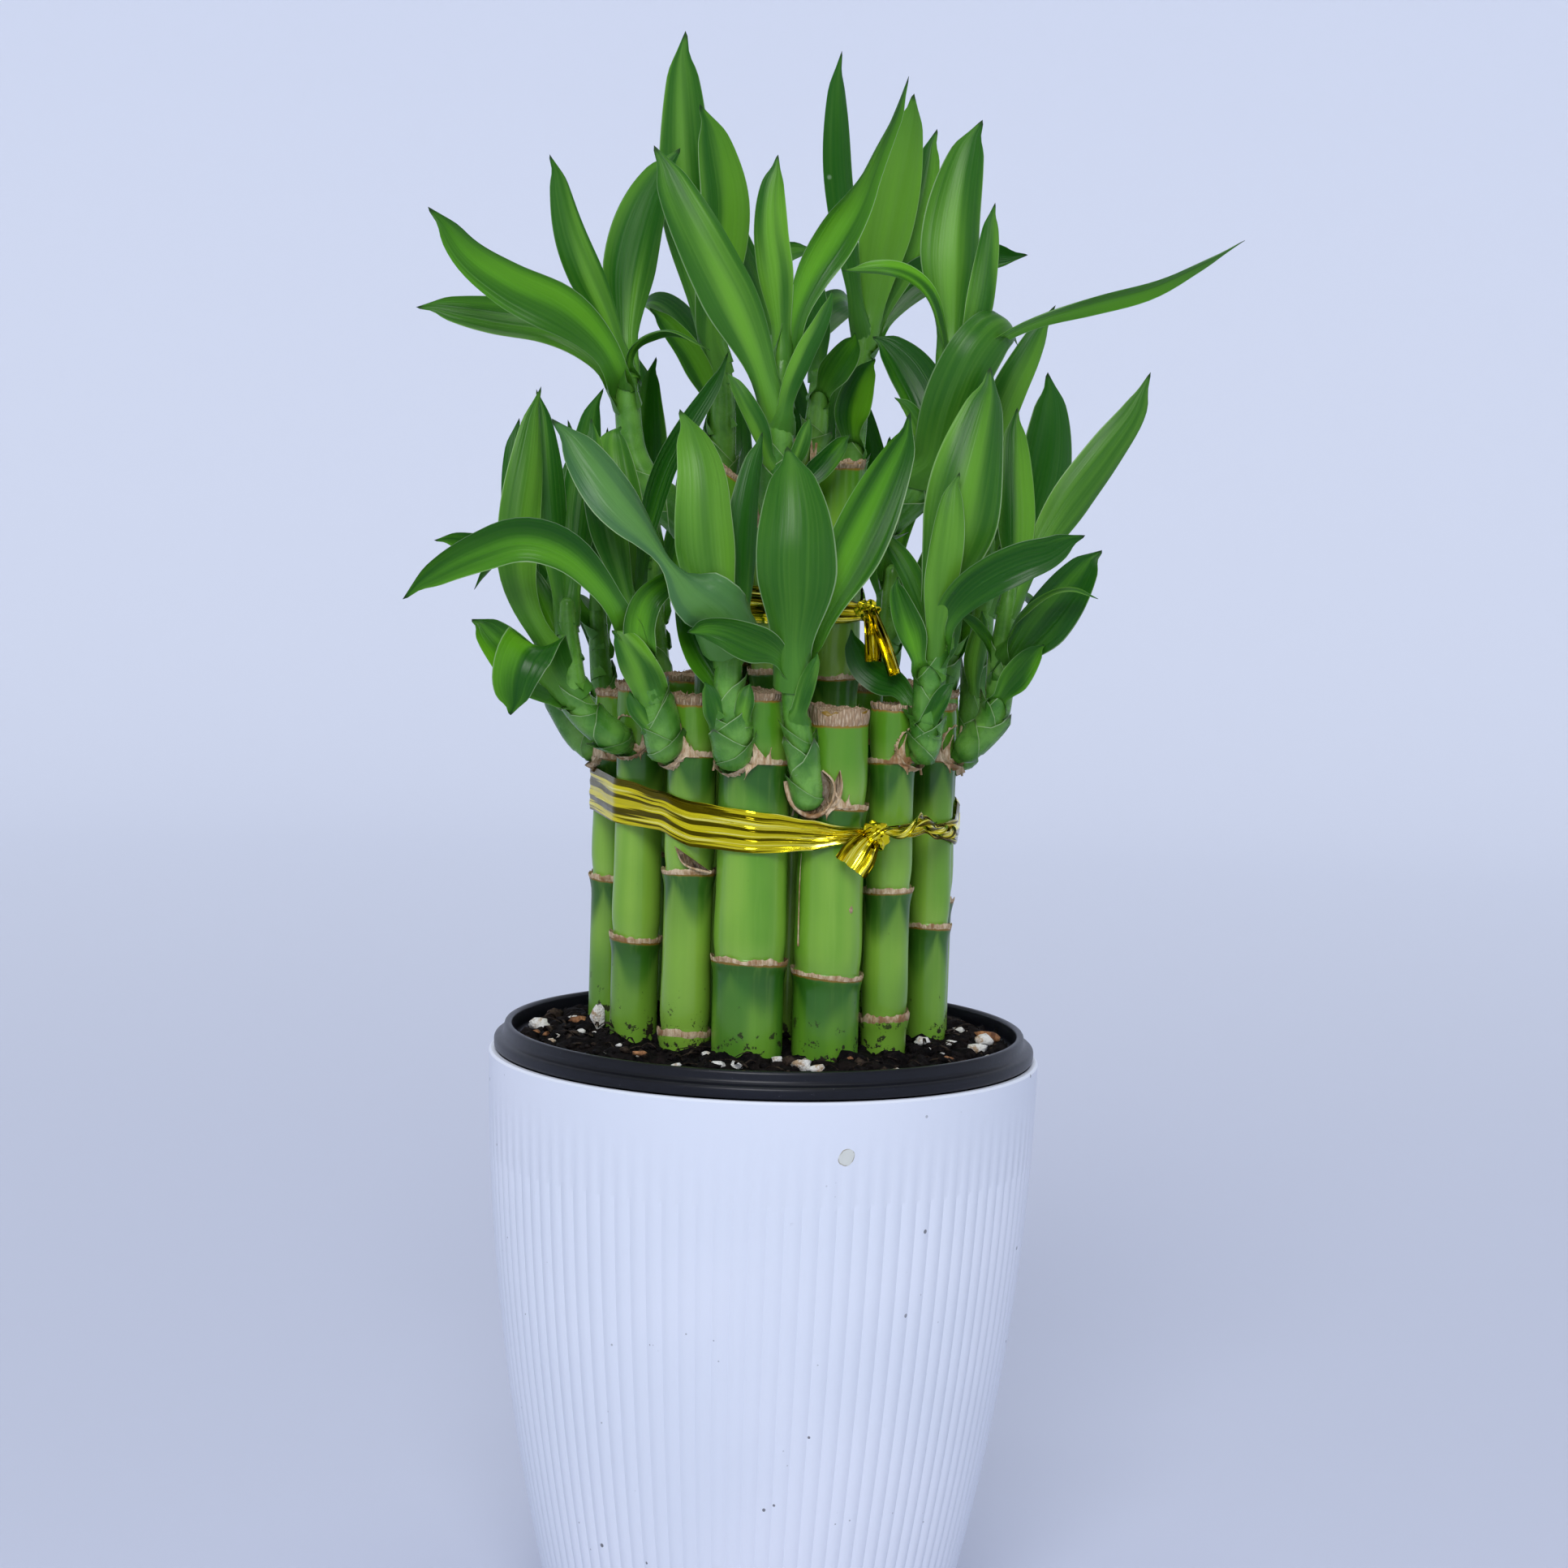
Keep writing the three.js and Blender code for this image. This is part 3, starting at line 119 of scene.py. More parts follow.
# Shoots that show from the front. Each has the cane it grows from, its stem as points with a
# radius, and its leaves: width, turns about the midrib in degrees from base to tip, the face
# that is seen, the midrib's points, the width of the base where it isn't LEAF_NECK, and how far
# a twist pinches the leaf in.
FRONT_SHOOTS = [
  ["outer_shoot_1", "outer_cane_1",
    [[-47, 86.8, 6, 2.3], [-50, 89, 7, 4.6], [-54, 93, 8, 4.6], [-58, 100, 9, 4], [-61, 110, 9, 3.6],
      [-62, 122, 9, 3], [-62.5, 132, 9, 2.2]],
    [
      [9, [0, 20], UNDER, [[-62, 118, 9], [-67, 130, 10], [-71, 143, 11], [-73, 158, 12],
        [-73.5, 170, 14], [-73, 179, 16]]],
      [7.5, [0, 10], UPPER, [[-62, 124, 8], [-69, 136, 6], [-77, 142, 4], [-86, 144.5, 2],
        [-94.8, 145.5, 0]]],
      [6, [70, 75], UPPER, [[-61.5, 115, 11], [-68, 133, 16], [-74, 141, 19], [-79, 138, 22],
        [-84, 131.5, 24]]],
      [9, [10, 30], UNDER, [[-62.5, 128, 10], [-60, 145, 13], [-58, 160, 17], [-57, 172, 22]]],
    ]],
  ["outer_shoot_2", "outer_cane_2",
    [[-40, 89.5, -20, 3], [-43.3, 91.6, -23, 4.8], [-47.4, 94, -25, 4.6], [-52, 98, -26, 4.3],
      [-55, 104, -27, 4], [-56.7, 113, -27, 3.8], [-57.5, 122, -26.5, 3], [-58, 130, -26, 2.2]],
    [
      [15.5, [0, 0, -5, -80, -78, -78], UNDER, [[-55.5, 102, -27], [-59.6, 108.2, -30],
        [-62.7, 114, -35], [-65.4, 117.2, -41], [-69, 114.4, -46], [-71.2, 108.4, -48],
        [-71.8, 102.5, -47], [-71.4, 97, -44]], 0.6],
      [13, [0, 0], UPPER, [[-55.5, 103, -26], [-62.5, 105.5, -28], [-68.2, 110, -31],
        [-73.9, 115.2, -33], [-79.1, 120, -33], [-82.9, 124.3, -32]], 0.6],
      [11.5, [0, 0, 20, 40], UNDER, [[-57, 110, -28], [-63, 117, -31], [-69, 127, -33],
        [-72, 138, -33], [-71.5, 152, -31], [-69.5, 168, -28], [-67.5, 188, -23]]],
      [9, [20, 30], UNDER, [[-57.5, 120, -25], [-60, 135, -23], [-62, 150, -21], [-63.5, 165, -19],
        [-65, 178, -17], [-67, 187, -15]]],
      [10, [0, 20], UNDER, [[-57.5, 122, -25], [-56, 138, -22], [-54.5, 155, -18], [-53, 170, -15],
        [-52, 181, -15], [-50, 188, -16]]],
      [8, [20, 20], UPPER, [[-57, 112, -25], [-61, 121, -22], [-65.5, 131, -20], [-69, 139, -18]]],
    ]],
  ["outer_shoot_3", "outer_cane_3",
    [[-28.5, 86, -35, 2.5], [-29.8, 89.5, -37, 5.6], [-31, 96, -39, 5.4], [-33.5, 103, -40.5, 4.6],
      [-36, 110, -41.5, 4.4], [-38.5, 118, -42, 4], [-39.5, 127, -42, 2.8]],
    [
      [10, [0, 0], UNDER, [[-33, 101, -43], [-36, 108.5, -46], [-40, 115.5, -47.5],
        [-44.5, 122, -47]], 0.9],
      [12, [10, 0, -10, 0], UPPER, [[-38.5, 117, -44], [-44, 128, -48], [-50, 136, -51],
        [-57, 142.5, -53], [-65, 146, -54], [-73, 146.3, -54], [-81, 143.5, -53], [-90, 139, -51],
        [-98, 133.5, -49], [-104, 129, -48]]],
      [9.5, [0, 20], UNDER, [[-39.5, 123, -42.5], [-42, 133, -43], [-45, 144, -43], [-48, 156, -42],
        [-51, 168, -40], [-51.8, 179.5, -37]]],
      [13, [0, 0], UNDER, [[-39, 121, -41], [-41, 140, -38], [-44, 156, -35], [-46, 168, -32],
        [-46.5, 175, -28], [-45.5, 177.5, -22]]],
      [7, [30, 20], UPPER, [[-39, 124, -41], [-37.5, 140, -39], [-36, 152, -37], [-32, 166, -35],
        [-26, 178, -33], [-19.5, 189, -31], [-14.7, 198.5, -29]]],
      [8.5, [0, 10], UPPER, [[-37, 113, -44], [-38, 122, -47], [-36, 130, -48], [-31, 135, -47],
        [-26, 138, -45]], 0.9],
      [5, [0, 0], UNDER, [[-33, 94, -42], [-37.5, 99, -43.5], [-40.5, 104.5, -43]], 0.9],
    ]],
  ["outer_shoot_4", "outer_cane_4",
    [[-10.5, 84.5, -45, 2.5], [-11, 88, -47.5, 5.8], [-11.5, 94, -49.5, 5.8], [-12.3, 101, -50.5, 4.6],
      [-13, 108, -50.5, 4.2], [-12.5, 116, -50, 3.8], [-11.5, 124, -49.5, 2.6]],
    [
      [16, [0, 10, 20], UNDER, [[-12.5, 113, -51], [-15, 124, -53], [-17.5, 137, -55],
        [-19.5, 152, -55], [-21.5, 168, -52], [-27, 183, -45]]],
      [17, [0, 5, 74, 74, 50, 35, 30], UNDER, [[-11, 119, -53], [-16, 127, -59], [-23, 132, -62],
        [-29.5, 139, -61], [-37, 148, -58], [-45, 157, -56], [-52, 166, -54], [-58, 174, -52],
        [-61.7, 180, -51]], 0.9, 0.62],
      [9, [20, 40], UPPER, [[-12.5, 99, -50], [-17, 108, -49.5], [-21, 114, -48.5], [-24.5, 121, -47.5],
        [-26.5, 130, -47], [-27, 136, -47]]],
      [9, [20, 30, 20], UNDER, [[-11, 117, -48.5], [-9.5, 128, -47], [-9.5, 142, -46],
        [-9, 156, -45], [-7.5, 168, -42], [-5, 177, -39]]],
      [6, [-20, 0], UNDER, [[-14, 93, -52], [-16.5, 101, -54.5], [-19, 108, -54]], 0.9],
      [5, [20, 0], UNDER, [[-9, 95, -53], [-8, 102, -55], [-7, 108, -54]], 0.9],
    ]],
  ["outer_shoot_5", "outer_cane_5",
    [[11, 73.2, -43.5, 2.2], [10.2, 76.5, -45, 5.6], [9, 84, -47.5, 5], [7.3, 93, -49.5, 4.6],
      [5.6, 102, -50.5, 4.2], [4.6, 112, -51, 3.8], [4.8, 121, -50.5, 2.6]],
    [
      [21, [0, 0], UNDER, [[5, 107, -53], [4.5, 118, -57], [4.5, 130, -61], [4, 142, -63],
        [4, 154, -61], [3, 165, -57], [2.5, 173.5, -52]]],
      [10, [20, 10, 0], UPPER, [[5, 111, -52], [0, 116.5, -58], [-7, 119.5, -63], [-14, 122, -65],
        [-20, 122.5, -64], [-24, 120.5, -62]]],
      [15, [0, 10, 20], UPPER, [[6.5, 112, -50.5], [10, 122, -50.5], [14, 133, -50], [19, 145, -49],
        [25, 158, -47], [31, 171, -45], [36.3, 183, -43]]],
      [4.6, [0, 0], UNDER, [[6, 97, -53], [8.2, 105.5, -56], [10.3, 112, -56.5], [12, 117, -56]], 0.9],
    ]],
  ["outer_shoot_6", "outer_cane_6",
    [[39.5, 88.5, -29.5, 2.4], [41.7, 91, -31, 4.7], [42.2, 97, -33, 4.4], [42.5, 105, -34, 4.2],
      [43.2, 113, -34.5, 4], [44.2, 121, -35, 3.4], [45, 129, -35, 2.4]],
    [
      [7.5, [0, 0], UPPER, [[40.5, 111, -37], [38, 120, -41], [35, 128, -43], [33, 134, -43],
        [32, 138.5, -42]]],
      [6.5, [10, 20], UNDER, [[42.5, 119, -36], [41, 129, -37.5], [38, 137, -37.5], [34, 144, -36.5],
        [30, 149, -35.5], [28, 152, -35]]],
      [20, [0, 0, 10, 20], UNDER, [[43.8, 119, -37], [44.3, 130, -39], [46, 141, -41], [49, 153, -42],
        [51.5, 166, -41], [54.5, 181, -37], [57.5, 196.5, -32]]],
      [9.5, [0, 0], UNDER, [[43.5, 116, -38], [44, 128, -44], [45, 140, -47], [46.5, 154, -48],
        [47.8, 168, -46]]],
      [11.5, [0, 0, -20], UPPER, [[44, 116, -37], [47, 127, -43], [52, 134, -47], [59, 139.5, -48],
        [67, 143.5, -47], [75, 146.5, -45], [83.5, 152.5, -41]]],
      [5, [0, 0], UPPER, [[42, 96, -36], [45.5, 104, -38.5], [49, 110, -37.5]], 0.9],
      [9, [0, -20, -20], UPPER, [[40, 101, -32], [34.5, 108.5, -28.5], [28.5, 111, -25.5],
        [24, 115, -24], [20, 123.5, -23]]],
      [5, [0, 0], UNDER, [[44, 111, -33], [48, 121, -31], [50.5, 131, -29]]],
    ]],
  ["outer_shoot_7", "outer_cane_7",
    [[50.5, 89, -8, 2.4], [53.8, 91.8, -9.5, 4.8], [57.8, 96, -11, 4.8], [60.8, 101, -12, 4.6],
      [61.8, 108, -12.5, 4.2], [62, 117, -12.5, 3.8], [63, 128, -12, 3.2], [64, 138, -11, 2.4]],
    [
      [8, [0, 0], UPPER, [[60.5, 103, -15], [64.5, 109.5, -18.5], [69, 115.5, -20], [73.5, 121.5, -20.5]]],
      [14, [0, 0], UPPER, [[61.5, 109, -14], [67, 119, -17], [73, 127, -19], [79, 135, -20],
        [84, 142.5, -20], [87.5, 148.5, -19]]],
      [7, [75, 80], UPPER, [[62.5, 118, -16], [67, 129, -23], [75, 135.5, -27], [82, 136.8, -28],
        [88.3, 134, -28]]],
      [10.5, [0, 10], UNDER, [[63.5, 129, -11], [65.5, 142, -10], [65.5, 156, -8], [64.5, 170, -5],
        [63.5, 186, -1]]],
      [11.5, [0, 20], UNDER, [[64, 129, -10], [68, 140, -9], [73.5, 150, -7], [81, 162, -5],
        [89.5, 174, -3], [97, 186, -2], [99.3, 197, -1]]],
      [5, [50, 60], UPPER, [[60.5, 112, -13], [59, 120, -15.5], [55, 125.5, -17], [49.5, 129.5, -17]]],
    ]],
  ["outer_shoot_8", "outer_cane_8",
    [[50, 86, 13, 2.5], [52.5, 90, 14.5, 4.8], [54.5, 97, 15.5, 4.4], [55.5, 108, 16, 4],
      [56.5, 122, 16, 3.6], [57, 138, 16, 3.2], [57.5, 151, 16, 2.2]],
    [
      [6, [0, 0], UNDER, [[55.5, 104, 13], [55, 115, 10], [56.5, 124, 9], [57, 130, 8]]],
      [11, [0, 20], UNDER, [[57, 138, 15], [56.5, 158, 13], [58, 177, 12], [62, 190, 12],
        [67, 201, 13], [73, 214.5, 15]]],
      [16, [0, 20], UNDER, [[57, 130, 17], [63, 142, 19], [69, 152, 20], [72.5, 166, 20], [74, 181, 20],
        [73, 196, 20]]],
      [11, [20, 0], UPPER, [[57.5, 144, 18], [60, 153, 22], [64, 161, 26], [69, 165, 28], [73, 163, 31]]],
    ]],
  ["inner_shoot_1", "inner_cane_1",
    [[-21, 146, -9, 2.6], [-25, 150, -9, 4.8], [-31, 156, -8, 4.8], [-37, 163, -7, 4.4],
      [-41, 171, -6, 4.2], [-42.5, 181, -5, 4], [-43, 190, -5, 3.2], [-43.5, 198, -5, 2.2]],
    [
      [14, [0, -10], UPPER, [[-43, 183, -7], [-46, 192, -11], [-51, 200, -14], [-61, 208.5, -17],
        [-76, 215.5, -18], [-88, 223.5, -17], [-97.5, 236.5, -15]]],
      [9.5, [0, 20], UNDER, [[-43.5, 191, -6], [-47.5, 204, -8], [-54.5, 219, -9], [-60, 233, -9],
        [-64.7, 251, -9]]],
      [14.5, [0, 10], UNDER, [[-43, 191, -3], [-43.5, 205, 0], [-42.5, 221, 3], [-38, 239, 5],
        [-31, 254, 6]]],
      [6, [50, 60], UPPER, [[-43, 189, -8], [-42, 198, -12], [-37, 202.5, -14], [-30, 203.5, -15],
        [-20.5, 199, -16]]],
      [12, [0, 10], UPPER, [[-42.5, 185, -3], [-51, 196.5, 2], [-63, 204.5, 5], [-80, 207, 7],
        [-101, 209.5, 9]]],
    ]],
  ["inner_shoot_2", "inner_cane_2",
    [[-1, 152, -24.5, 2.4], [-1.5, 156, -26, 5], [-1.5, 163, -27, 5], [-1, 172, -27.5, 4.6],
      [-1, 182, -27.5, 4.2], [-1, 192, -27, 3.6], [-0.5, 201, -26.5, 2.4]],
    [
      [15, [0, 10], UNDER, [[-2, 180, -29], [-4.5, 190, -33], [-8, 200, -36], [-14, 213, -38],
        [-22, 227, -38], [-30, 241, -36], [-36.5, 254.5, -33]]],
      [10, [0, 10], UNDER, [[-0.5, 196, -27], [-1.5, 208, -28], [-3, 220, -29], [-5, 232, -29],
        [-5, 243, -28], [-3, 252.5, -26]]],
      [12.5, [10, 10, 15, 30, 62, 74, 65], UPPER, [[0.5, 193, -27], [2, 207, -27], [6.5, 220, -26],
        [12.5, 231, -25], [19, 242, -23.5], [24, 254, -22], [28.5, 265, -20.5], [31, 275, -19]]],
      [5.5, [0, 0], UNDER, [[-0.5, 177, -31], [1.5, 189, -34], [5.5, 199, -35], [9.5, 207, -35],
        [13, 216.5, -34]], 0.7],
      [5.5, [0, 0], UNDER, [[-2, 165, -31], [-6, 177, -34], [-11, 186, -35], [-15.5, 193.5, -34]]],
      [4.5, [0, 0], UNDER, [[1, 164, -31], [4.5, 172, -33], [7.5, 181.5, -33]]],
      [6.5, [0, 0], UPPER, [[1, 160, -29], [7, 164, -27.5], [12, 169, -26.5], [18.3, 177.5, -25.5]]],
    ]],
  ["inner_shoot_3", "inner_cane_3",
    [[21, 146, -12, 2.6], [25, 150, -13, 4.8], [31, 155, -14, 4.8], [37, 162, -14.5, 4.4],
      [41.5, 171, -15, 4.2], [44, 181, -15, 4], [45, 191, -15, 3.4], [45.5, 200, -15, 2.4]],
    [
      [16, [0, 10], UNDER, [[45, 194, -15], [45.5, 207, -14], [45, 221, -12], [45.5, 236, -9],
        [47.5, 251, -6], [50.8, 264, -2]]],
      [7.5, [0, 10], UNDER, [[45.5, 192, -17], [49.5, 202, -20], [53, 212, -21.5], [54.8, 227, -20],
        [55.5, 241.5, -18]]],
      [16, [0, 0], UNDER, [[43, 163, -18], [44, 174, -23], [46.5, 186, -27], [51, 198, -29],
        [56.5, 206, -26], [61, 208, -19], [63, 204, -11]], 0.8],
      [9.5, [58, 50, 54], UPPER, [[46, 187, -17], [52, 199, -22], [60, 205.5, -25], [70, 210.5, -26],
        [85, 215.5, -26], [100, 220, -25], [112, 226, -24], [124.5, 233, -23]]],
      [7, [60, 60], UPPER, [[45, 195, -16], [42.5, 207, -18], [39, 216, -20], [33, 221, -21],
        [25, 222.5, -22], [15, 221.5, -22]]],
      [5, [0, 0], UNDER, [[42.5, 165, -19], [39, 176, -22], [35, 184, -23], [30.5, 188, -23]]],
      [13, [0, 0], UPPER, [[42, 171, -14], [41, 180, -11], [38.3, 189, -8.5], [34.2, 196, -7],
        [29.5, 201, -6], [24.3, 204.8, -5]], 0.7],
    ]],
  ["inner_shoot_4", "inner_cane_4",
    [[17.5, 150, 15.5, 2.4], [18, 155, 17, 4.8], [18.5, 165, 18, 4.6], [19, 176, 18, 4.4],
      [20, 188, 18, 4], [21, 198, 18, 3.4], [21.5, 208, 18, 2.4]],
    [
      [8.5, [20, 20], UNDER, [[21, 203, 17], [19, 215, 15], [16.5, 230, 12], [13.5, 248, 9],
        [12.5, 265, 6], [12, 281, 4]]],
      [15, [0, 10], UNDER, [[21.5, 201, 19], [24, 214, 19], [26.5, 228, 18], [29, 243, 17],
        [31.5, 257, 15], [34, 270, 13]]],
      [11, [0, -10], UNDER, [[21.5, 201, 21], [27, 215, 24], [32, 229, 27], [36, 245, 30],
        [38.5, 261, 33]]],
      [11, [0, 0, 30], UPPER, [[21.5, 199, 21], [28, 211, 24], [37, 220, 26], [50, 226, 28],
        [65.5, 227, 29]]],
      [10, [0, 0], UPPER, [[19.5, 172, 14], [18, 182, 9], [20, 190, 6], [24, 198.5, 4]]],
    ]],
  ["inner_shoot_5", "inner_cane_5",
    [[1, 150, 24, 2.4], [1, 155, 26, 4.8], [0.5, 165, 28, 4.4], [0, 177, 29.5, 4], [-1, 189, 30.5, 3.4],
      [-2, 199, 31, 2.4]],
    [
      [9, [0, 0], UPPER, [[-2, 195, 31], [-7, 210, 33], [-7, 221, 36], [0, 226.5, 39], [8, 227, 41]]],
      [12, [0, 10], UNDER, [[-1.5, 194, 30], [-7, 212, 31], [-15, 228, 33], [-21.5, 243, 35],
        [-25, 256, 37]]],
      [11, [0, 0], UPPER, [[-1, 190, 32], [5, 203, 37], [12, 211, 44], [17, 213, 53], [19, 208, 61]]],
      [11, [0, 0], UPPER, [[-0.5, 183, 30], [-2.5, 200, 38], [-3, 211, 49], [-2, 213, 60], [-1, 207, 70]]],
    ]],
  ["inner_shoot_6", "inner_cane_6",
    [[-16, 150, 15.5, 2.4], [-16.5, 155, 17, 4.8], [-16.5, 166, 18, 4.4], [-16.5, 178, 18.5, 4.2],
      [-17, 190, 18.5, 3.6], [-18.5, 200, 18.5, 2.6]],
    [
      [15.5, [0, 0], UNDER, [[-18, 195, 19], [-22, 208, 20], [-26, 228, 21], [-28.5, 248, 22],
        [-30, 267, 23], [-31, 285, 24]]],
      [14.5, [0, 10], UNDER, [[-18, 193, 17], [-20.5, 205, 15], [-18, 222, 12], [-17, 238, 9],
        [-19.5, 252, 7], [-24, 266, 5]]],
      [7.5, [0, 0], UPPER, [[-17, 178, 18], [-21, 189, 17], [-26, 198, 16], [-31, 204, 15],
        [-37, 210.5, 14]]],
      [9, [0, 0], UPPER, [[-17.5, 187, 20], [-24, 200, 28], [-31, 209, 36], [-37, 212, 44],
        [-42, 208, 51]]],
    ]],
  ["inner_shoot_7", "inner_cane_7",
    [[5, 167, 4, 2.2], [7.5, 170.5, 5.5, 4], [9, 178, 6, 3.8], [9.5, 187, 6, 3.2], [9.5, 195, 6, 2.4]],
    [
      [10, [0, 10], UNDER, [[9.5, 191, 6], [8, 204, 7], [6.5, 216, 8], [5.5, 226, 9]]],
      [9, [0, 0], UPPER, [[9.5, 186, 4], [12.5, 193, 0], [16, 199, -3], [20, 204.5, -6]]],
    ]],
]

# Shoots at the back, alike but for their size and the direction they lean in, in degrees.
# Points are outward from the cane, sideways, and up from the node ring they grow at.
BACK_STEM = [[5, 0, -2, 2.4], [8.5, 0, 2, 5], [12, 0, 9, 4.8], [15, 0, 19, 4.3],
  [17, 0, 30, 3.8], [18, 0, 41, 3.2], [18.5, 0, 51, 2.4]]
BACK_LEAVES = [
  [12, [0, 0], [[16, 0, 20], [22, -2, 33], [30, -4, 43], [40, -5, 47], [49, -6, 42], [54, -6, 34]]],
  [11, [0, 10], [[17, 0, 28], [22, -7, 42], [27, -13, 55], [32, -17, 68], [35, -19, 80]]],
  [12, [0, 0], [[18, 0, 44], [18, 3, 60], [16, 5, 76], [12, 7, 90], [7, 8, 104]]],
  [11, [0, -10], [[17.5, 0, 36], [25, 6, 46], [34, 10, 57], [42, 12, 66], [50, 13, 73]]],
  [11, [0, 0], [[18.5, 0, 46], [22, -1, 62], [27, -2, 79], [33, -3, 94], [39, -4, 105]]],
]
BACK_SHOOTS = [
  ["outer_shoot_9", "outer_cane_9", 0.9, 46],
  ["outer_shoot_10", "outer_cane_10", 0.97, 64],
  ["outer_shoot_11", "outer_cane_11", 1.04, 82],
  ["outer_shoot_12", "outer_cane_12", 0.95, 101],
  ["outer_shoot_13", "outer_cane_13", 1, 120],
  ["outer_shoot_14", "outer_cane_14", 0.86, 138],
]

# Ribbons: direction about RIBBON_CENTRE in degrees, lower edge, upper edge
RIBBON_CENTRE = [2, 0]
OUTER_RIBBON = [[-180, 231, 243], [-152, 230.5, 242.5], [-134, 230.6, 241.2],
  [-118, 227.3, 239.4], [-104, 227.3, 238.8], [-92, 227.3, 237.8], [-80, 228.1, 236.2],
  [-68, 229.7, 234.5], [-58, 228.8, 234], [-50, 231, 234], [-39, 230.3, 234.2],
  [-31, 230.7, 235.6], [-22, 228.3, 232.7], [-2, 225, 233], [30, 229, 240], [90, 230, 242],
  [180, 231, 243]]
INNER_RIBBON = [[-180, 286, 296], [-90, 286.5, 296.5], [-45, 286.5, 293], [-30, 287, 292],
  [0, 286, 295], [180, 286, 296]]
# Knots: the middle as read from the front, and the radius
OUTER_KNOT = [28.5, 66.5, -43, 4.2]
INNER_KNOT = [25, 129, -23.5, 3]
# Ribbon tails: width, share of the width at the knot, points as read from the front
OUTER_TAILS = [[10, 0.5, [[29, 67, -44], [26, 63, -48], [22.5, 57.5, -50]]]]
INNER_TAILS = [
  [4.5, 0.8, [[25.5, 129, -25], [26.5, 122, -27.5], [27, 115, -28]]],
  [3.5, 0.8, [[26, 129, -25], [29.5, 121, -29.5], [33, 111.5, -32]]],
]


# Finishes


class Shade:
    """A value in a shader. Arithmetic on it adds Math nodes."""

    def __init__(self, finish, socket):
        self.finish = finish
        self.socket = socket

    def math(self, operation, *values):
        return self.finish.node("ShaderNodeMath", {"operation": operation}, dict(enumerate(values)))

    def __add__(self, other):
        return self.math("ADD", self, other)

    __radd__ = __add__

    def __sub__(self, other):
        return self.math("SUBTRACT", self, other)

    def __rsub__(self, other):
        return self.math("SUBTRACT", other, self)

    def __mul__(self, other):
        return self.math("MULTIPLY", self, other)

    __rmul__ = __mul__

    def __abs__(self):
        return self.math("ABSOLUTE", self)

    def sine(self):
        return self.math("SINE", self)

    def bigger(self, other):
        return self.math("MAXIMUM", self, other)

    def smaller(self, other):
        return self.math("MINIMUM", self, other)

    def rise(self, low, high):
        """0 below low, 1 above high, smooth between."""
        settings = {"interpolation_type": "SMOOTHSTEP"}
        return self.finish.node("ShaderNodeMapRange", settings, {0: self, 1: low, 2: high})


class Finish:
    """A material with one Principled shader, put together from nodes."""

    def __init__(self, name, **constants):
        self.material = bpy.data.materials.new(name)
        self.material.use_nodes = True
        self.tree = self.material.node_tree
        self.tree.nodes.clear()
        self.body = None
        self.output = self.tree.nodes.new("ShaderNodeOutputMaterial")
        self.shader = self.tree.nodes.new("ShaderNodeBsdfPrincipled")
        self.tree.links.new(self.shader.outputs[0], self.output.inputs[0])
        for socket, value in constants.items():
            self.shader.inputs[socket.replace("_", " ")].default_value = value

    def plug(self, socket, value):
        if isinstance(value, Shade):
            self.tree.links.new(value.socket, socket)
        else:
            socket.default_value = value

    def node(self, kind, settings=None, values=None, result=0):
        node = self.tree.nodes.new(kind)
        for setting, value in (settings or {}).items():
            setattr(node, setting, value)
        for socket, value in (values or {}).items():
            self.plug(node.inputs[socket], value)
        return Shade(self, node.outputs[result])

    def feed(self, socket, value):
        self.plug(self.shader.inputs[socket], value)

    def place(self):
        return self.node("ShaderNodeTexCoord", result="Object")

    def across_along(self):
        """The piece's own map: across and along the blade, or round and up the cane."""
        flat = self.node("ShaderNodeUVMap", {"uv_map": "UVMap"})
        parts = self.node("ShaderNodeSeparateXYZ", values={0: flat})
        return parts, Shade(self, parts.socket.node.outputs[1])

    def attribute(self, name):
        return self.node("ShaderNodeAttribute", {"attribute_name": name}, result="Fac")

    def vector(self, x, y, z):
        return self.node("ShaderNodeCombineXYZ", values={0: x, 1: y, 2: z})

    def noise(self, where, scale, detail=3, rough=0.55, distortion=0):
        values = {"Vector": where, "Scale": scale, "Detail": detail, "Roughness": rough,
                  "Distortion": distortion}
        return self.node("ShaderNodeTexNoise", values=values)

    def cells(self, where, scale):
        return self.node("ShaderNodeTexVoronoi", values={"Vector": where, "Scale": scale})

    def length(self, where):
        return self.node("ShaderNodeVectorMath", {"operation": "LENGTH"}, {0: where}, result=1)

    def paint(self, amount, tint, under=None):
        """Lays a tint over the body colour, or over another colour to start with."""
        values = {0: amount, 6: under or self.body, 7: tint}
        self.body = self.node("ShaderNodeMix", {"data_type": "RGBA"}, values, result=2)

    def stretched(self, where, x, y, z):
        return self.node("ShaderNodeMapping", values={"Vector": where, "Scale": (x, y, z)})

    def bump(self, height, distance, strength=1.0, under=None):
        values = {"Height": height, "Distance": distance, "Strength": strength}
        if under is not None:
            values["Normal"] = under
        return self.node("ShaderNodeBump", values=values)

    def done(self, rough, relief, depth, strength, under=None):
        """Feeds the body colour, the roughness and the relief, and gives the material."""
        self.feed("Base Color", self.body)
        self.feed("Roughness", rough)
        self.feed("Normal", self.bump(relief, depth, strength, under))
        return self.material

    def glow_through(self, colour, share):
        """Light that comes through from the other side of a thin leaf."""
        through = self.node("ShaderNodeBsdfTranslucent", values={"Color": colour})
        both = self.node("ShaderNodeMixShader",
                         values={0: share, 1: Shade(self, self.shader.outputs[0]), 2: through})
        self.tree.links.new(both.socket, self.output.inputs[0])


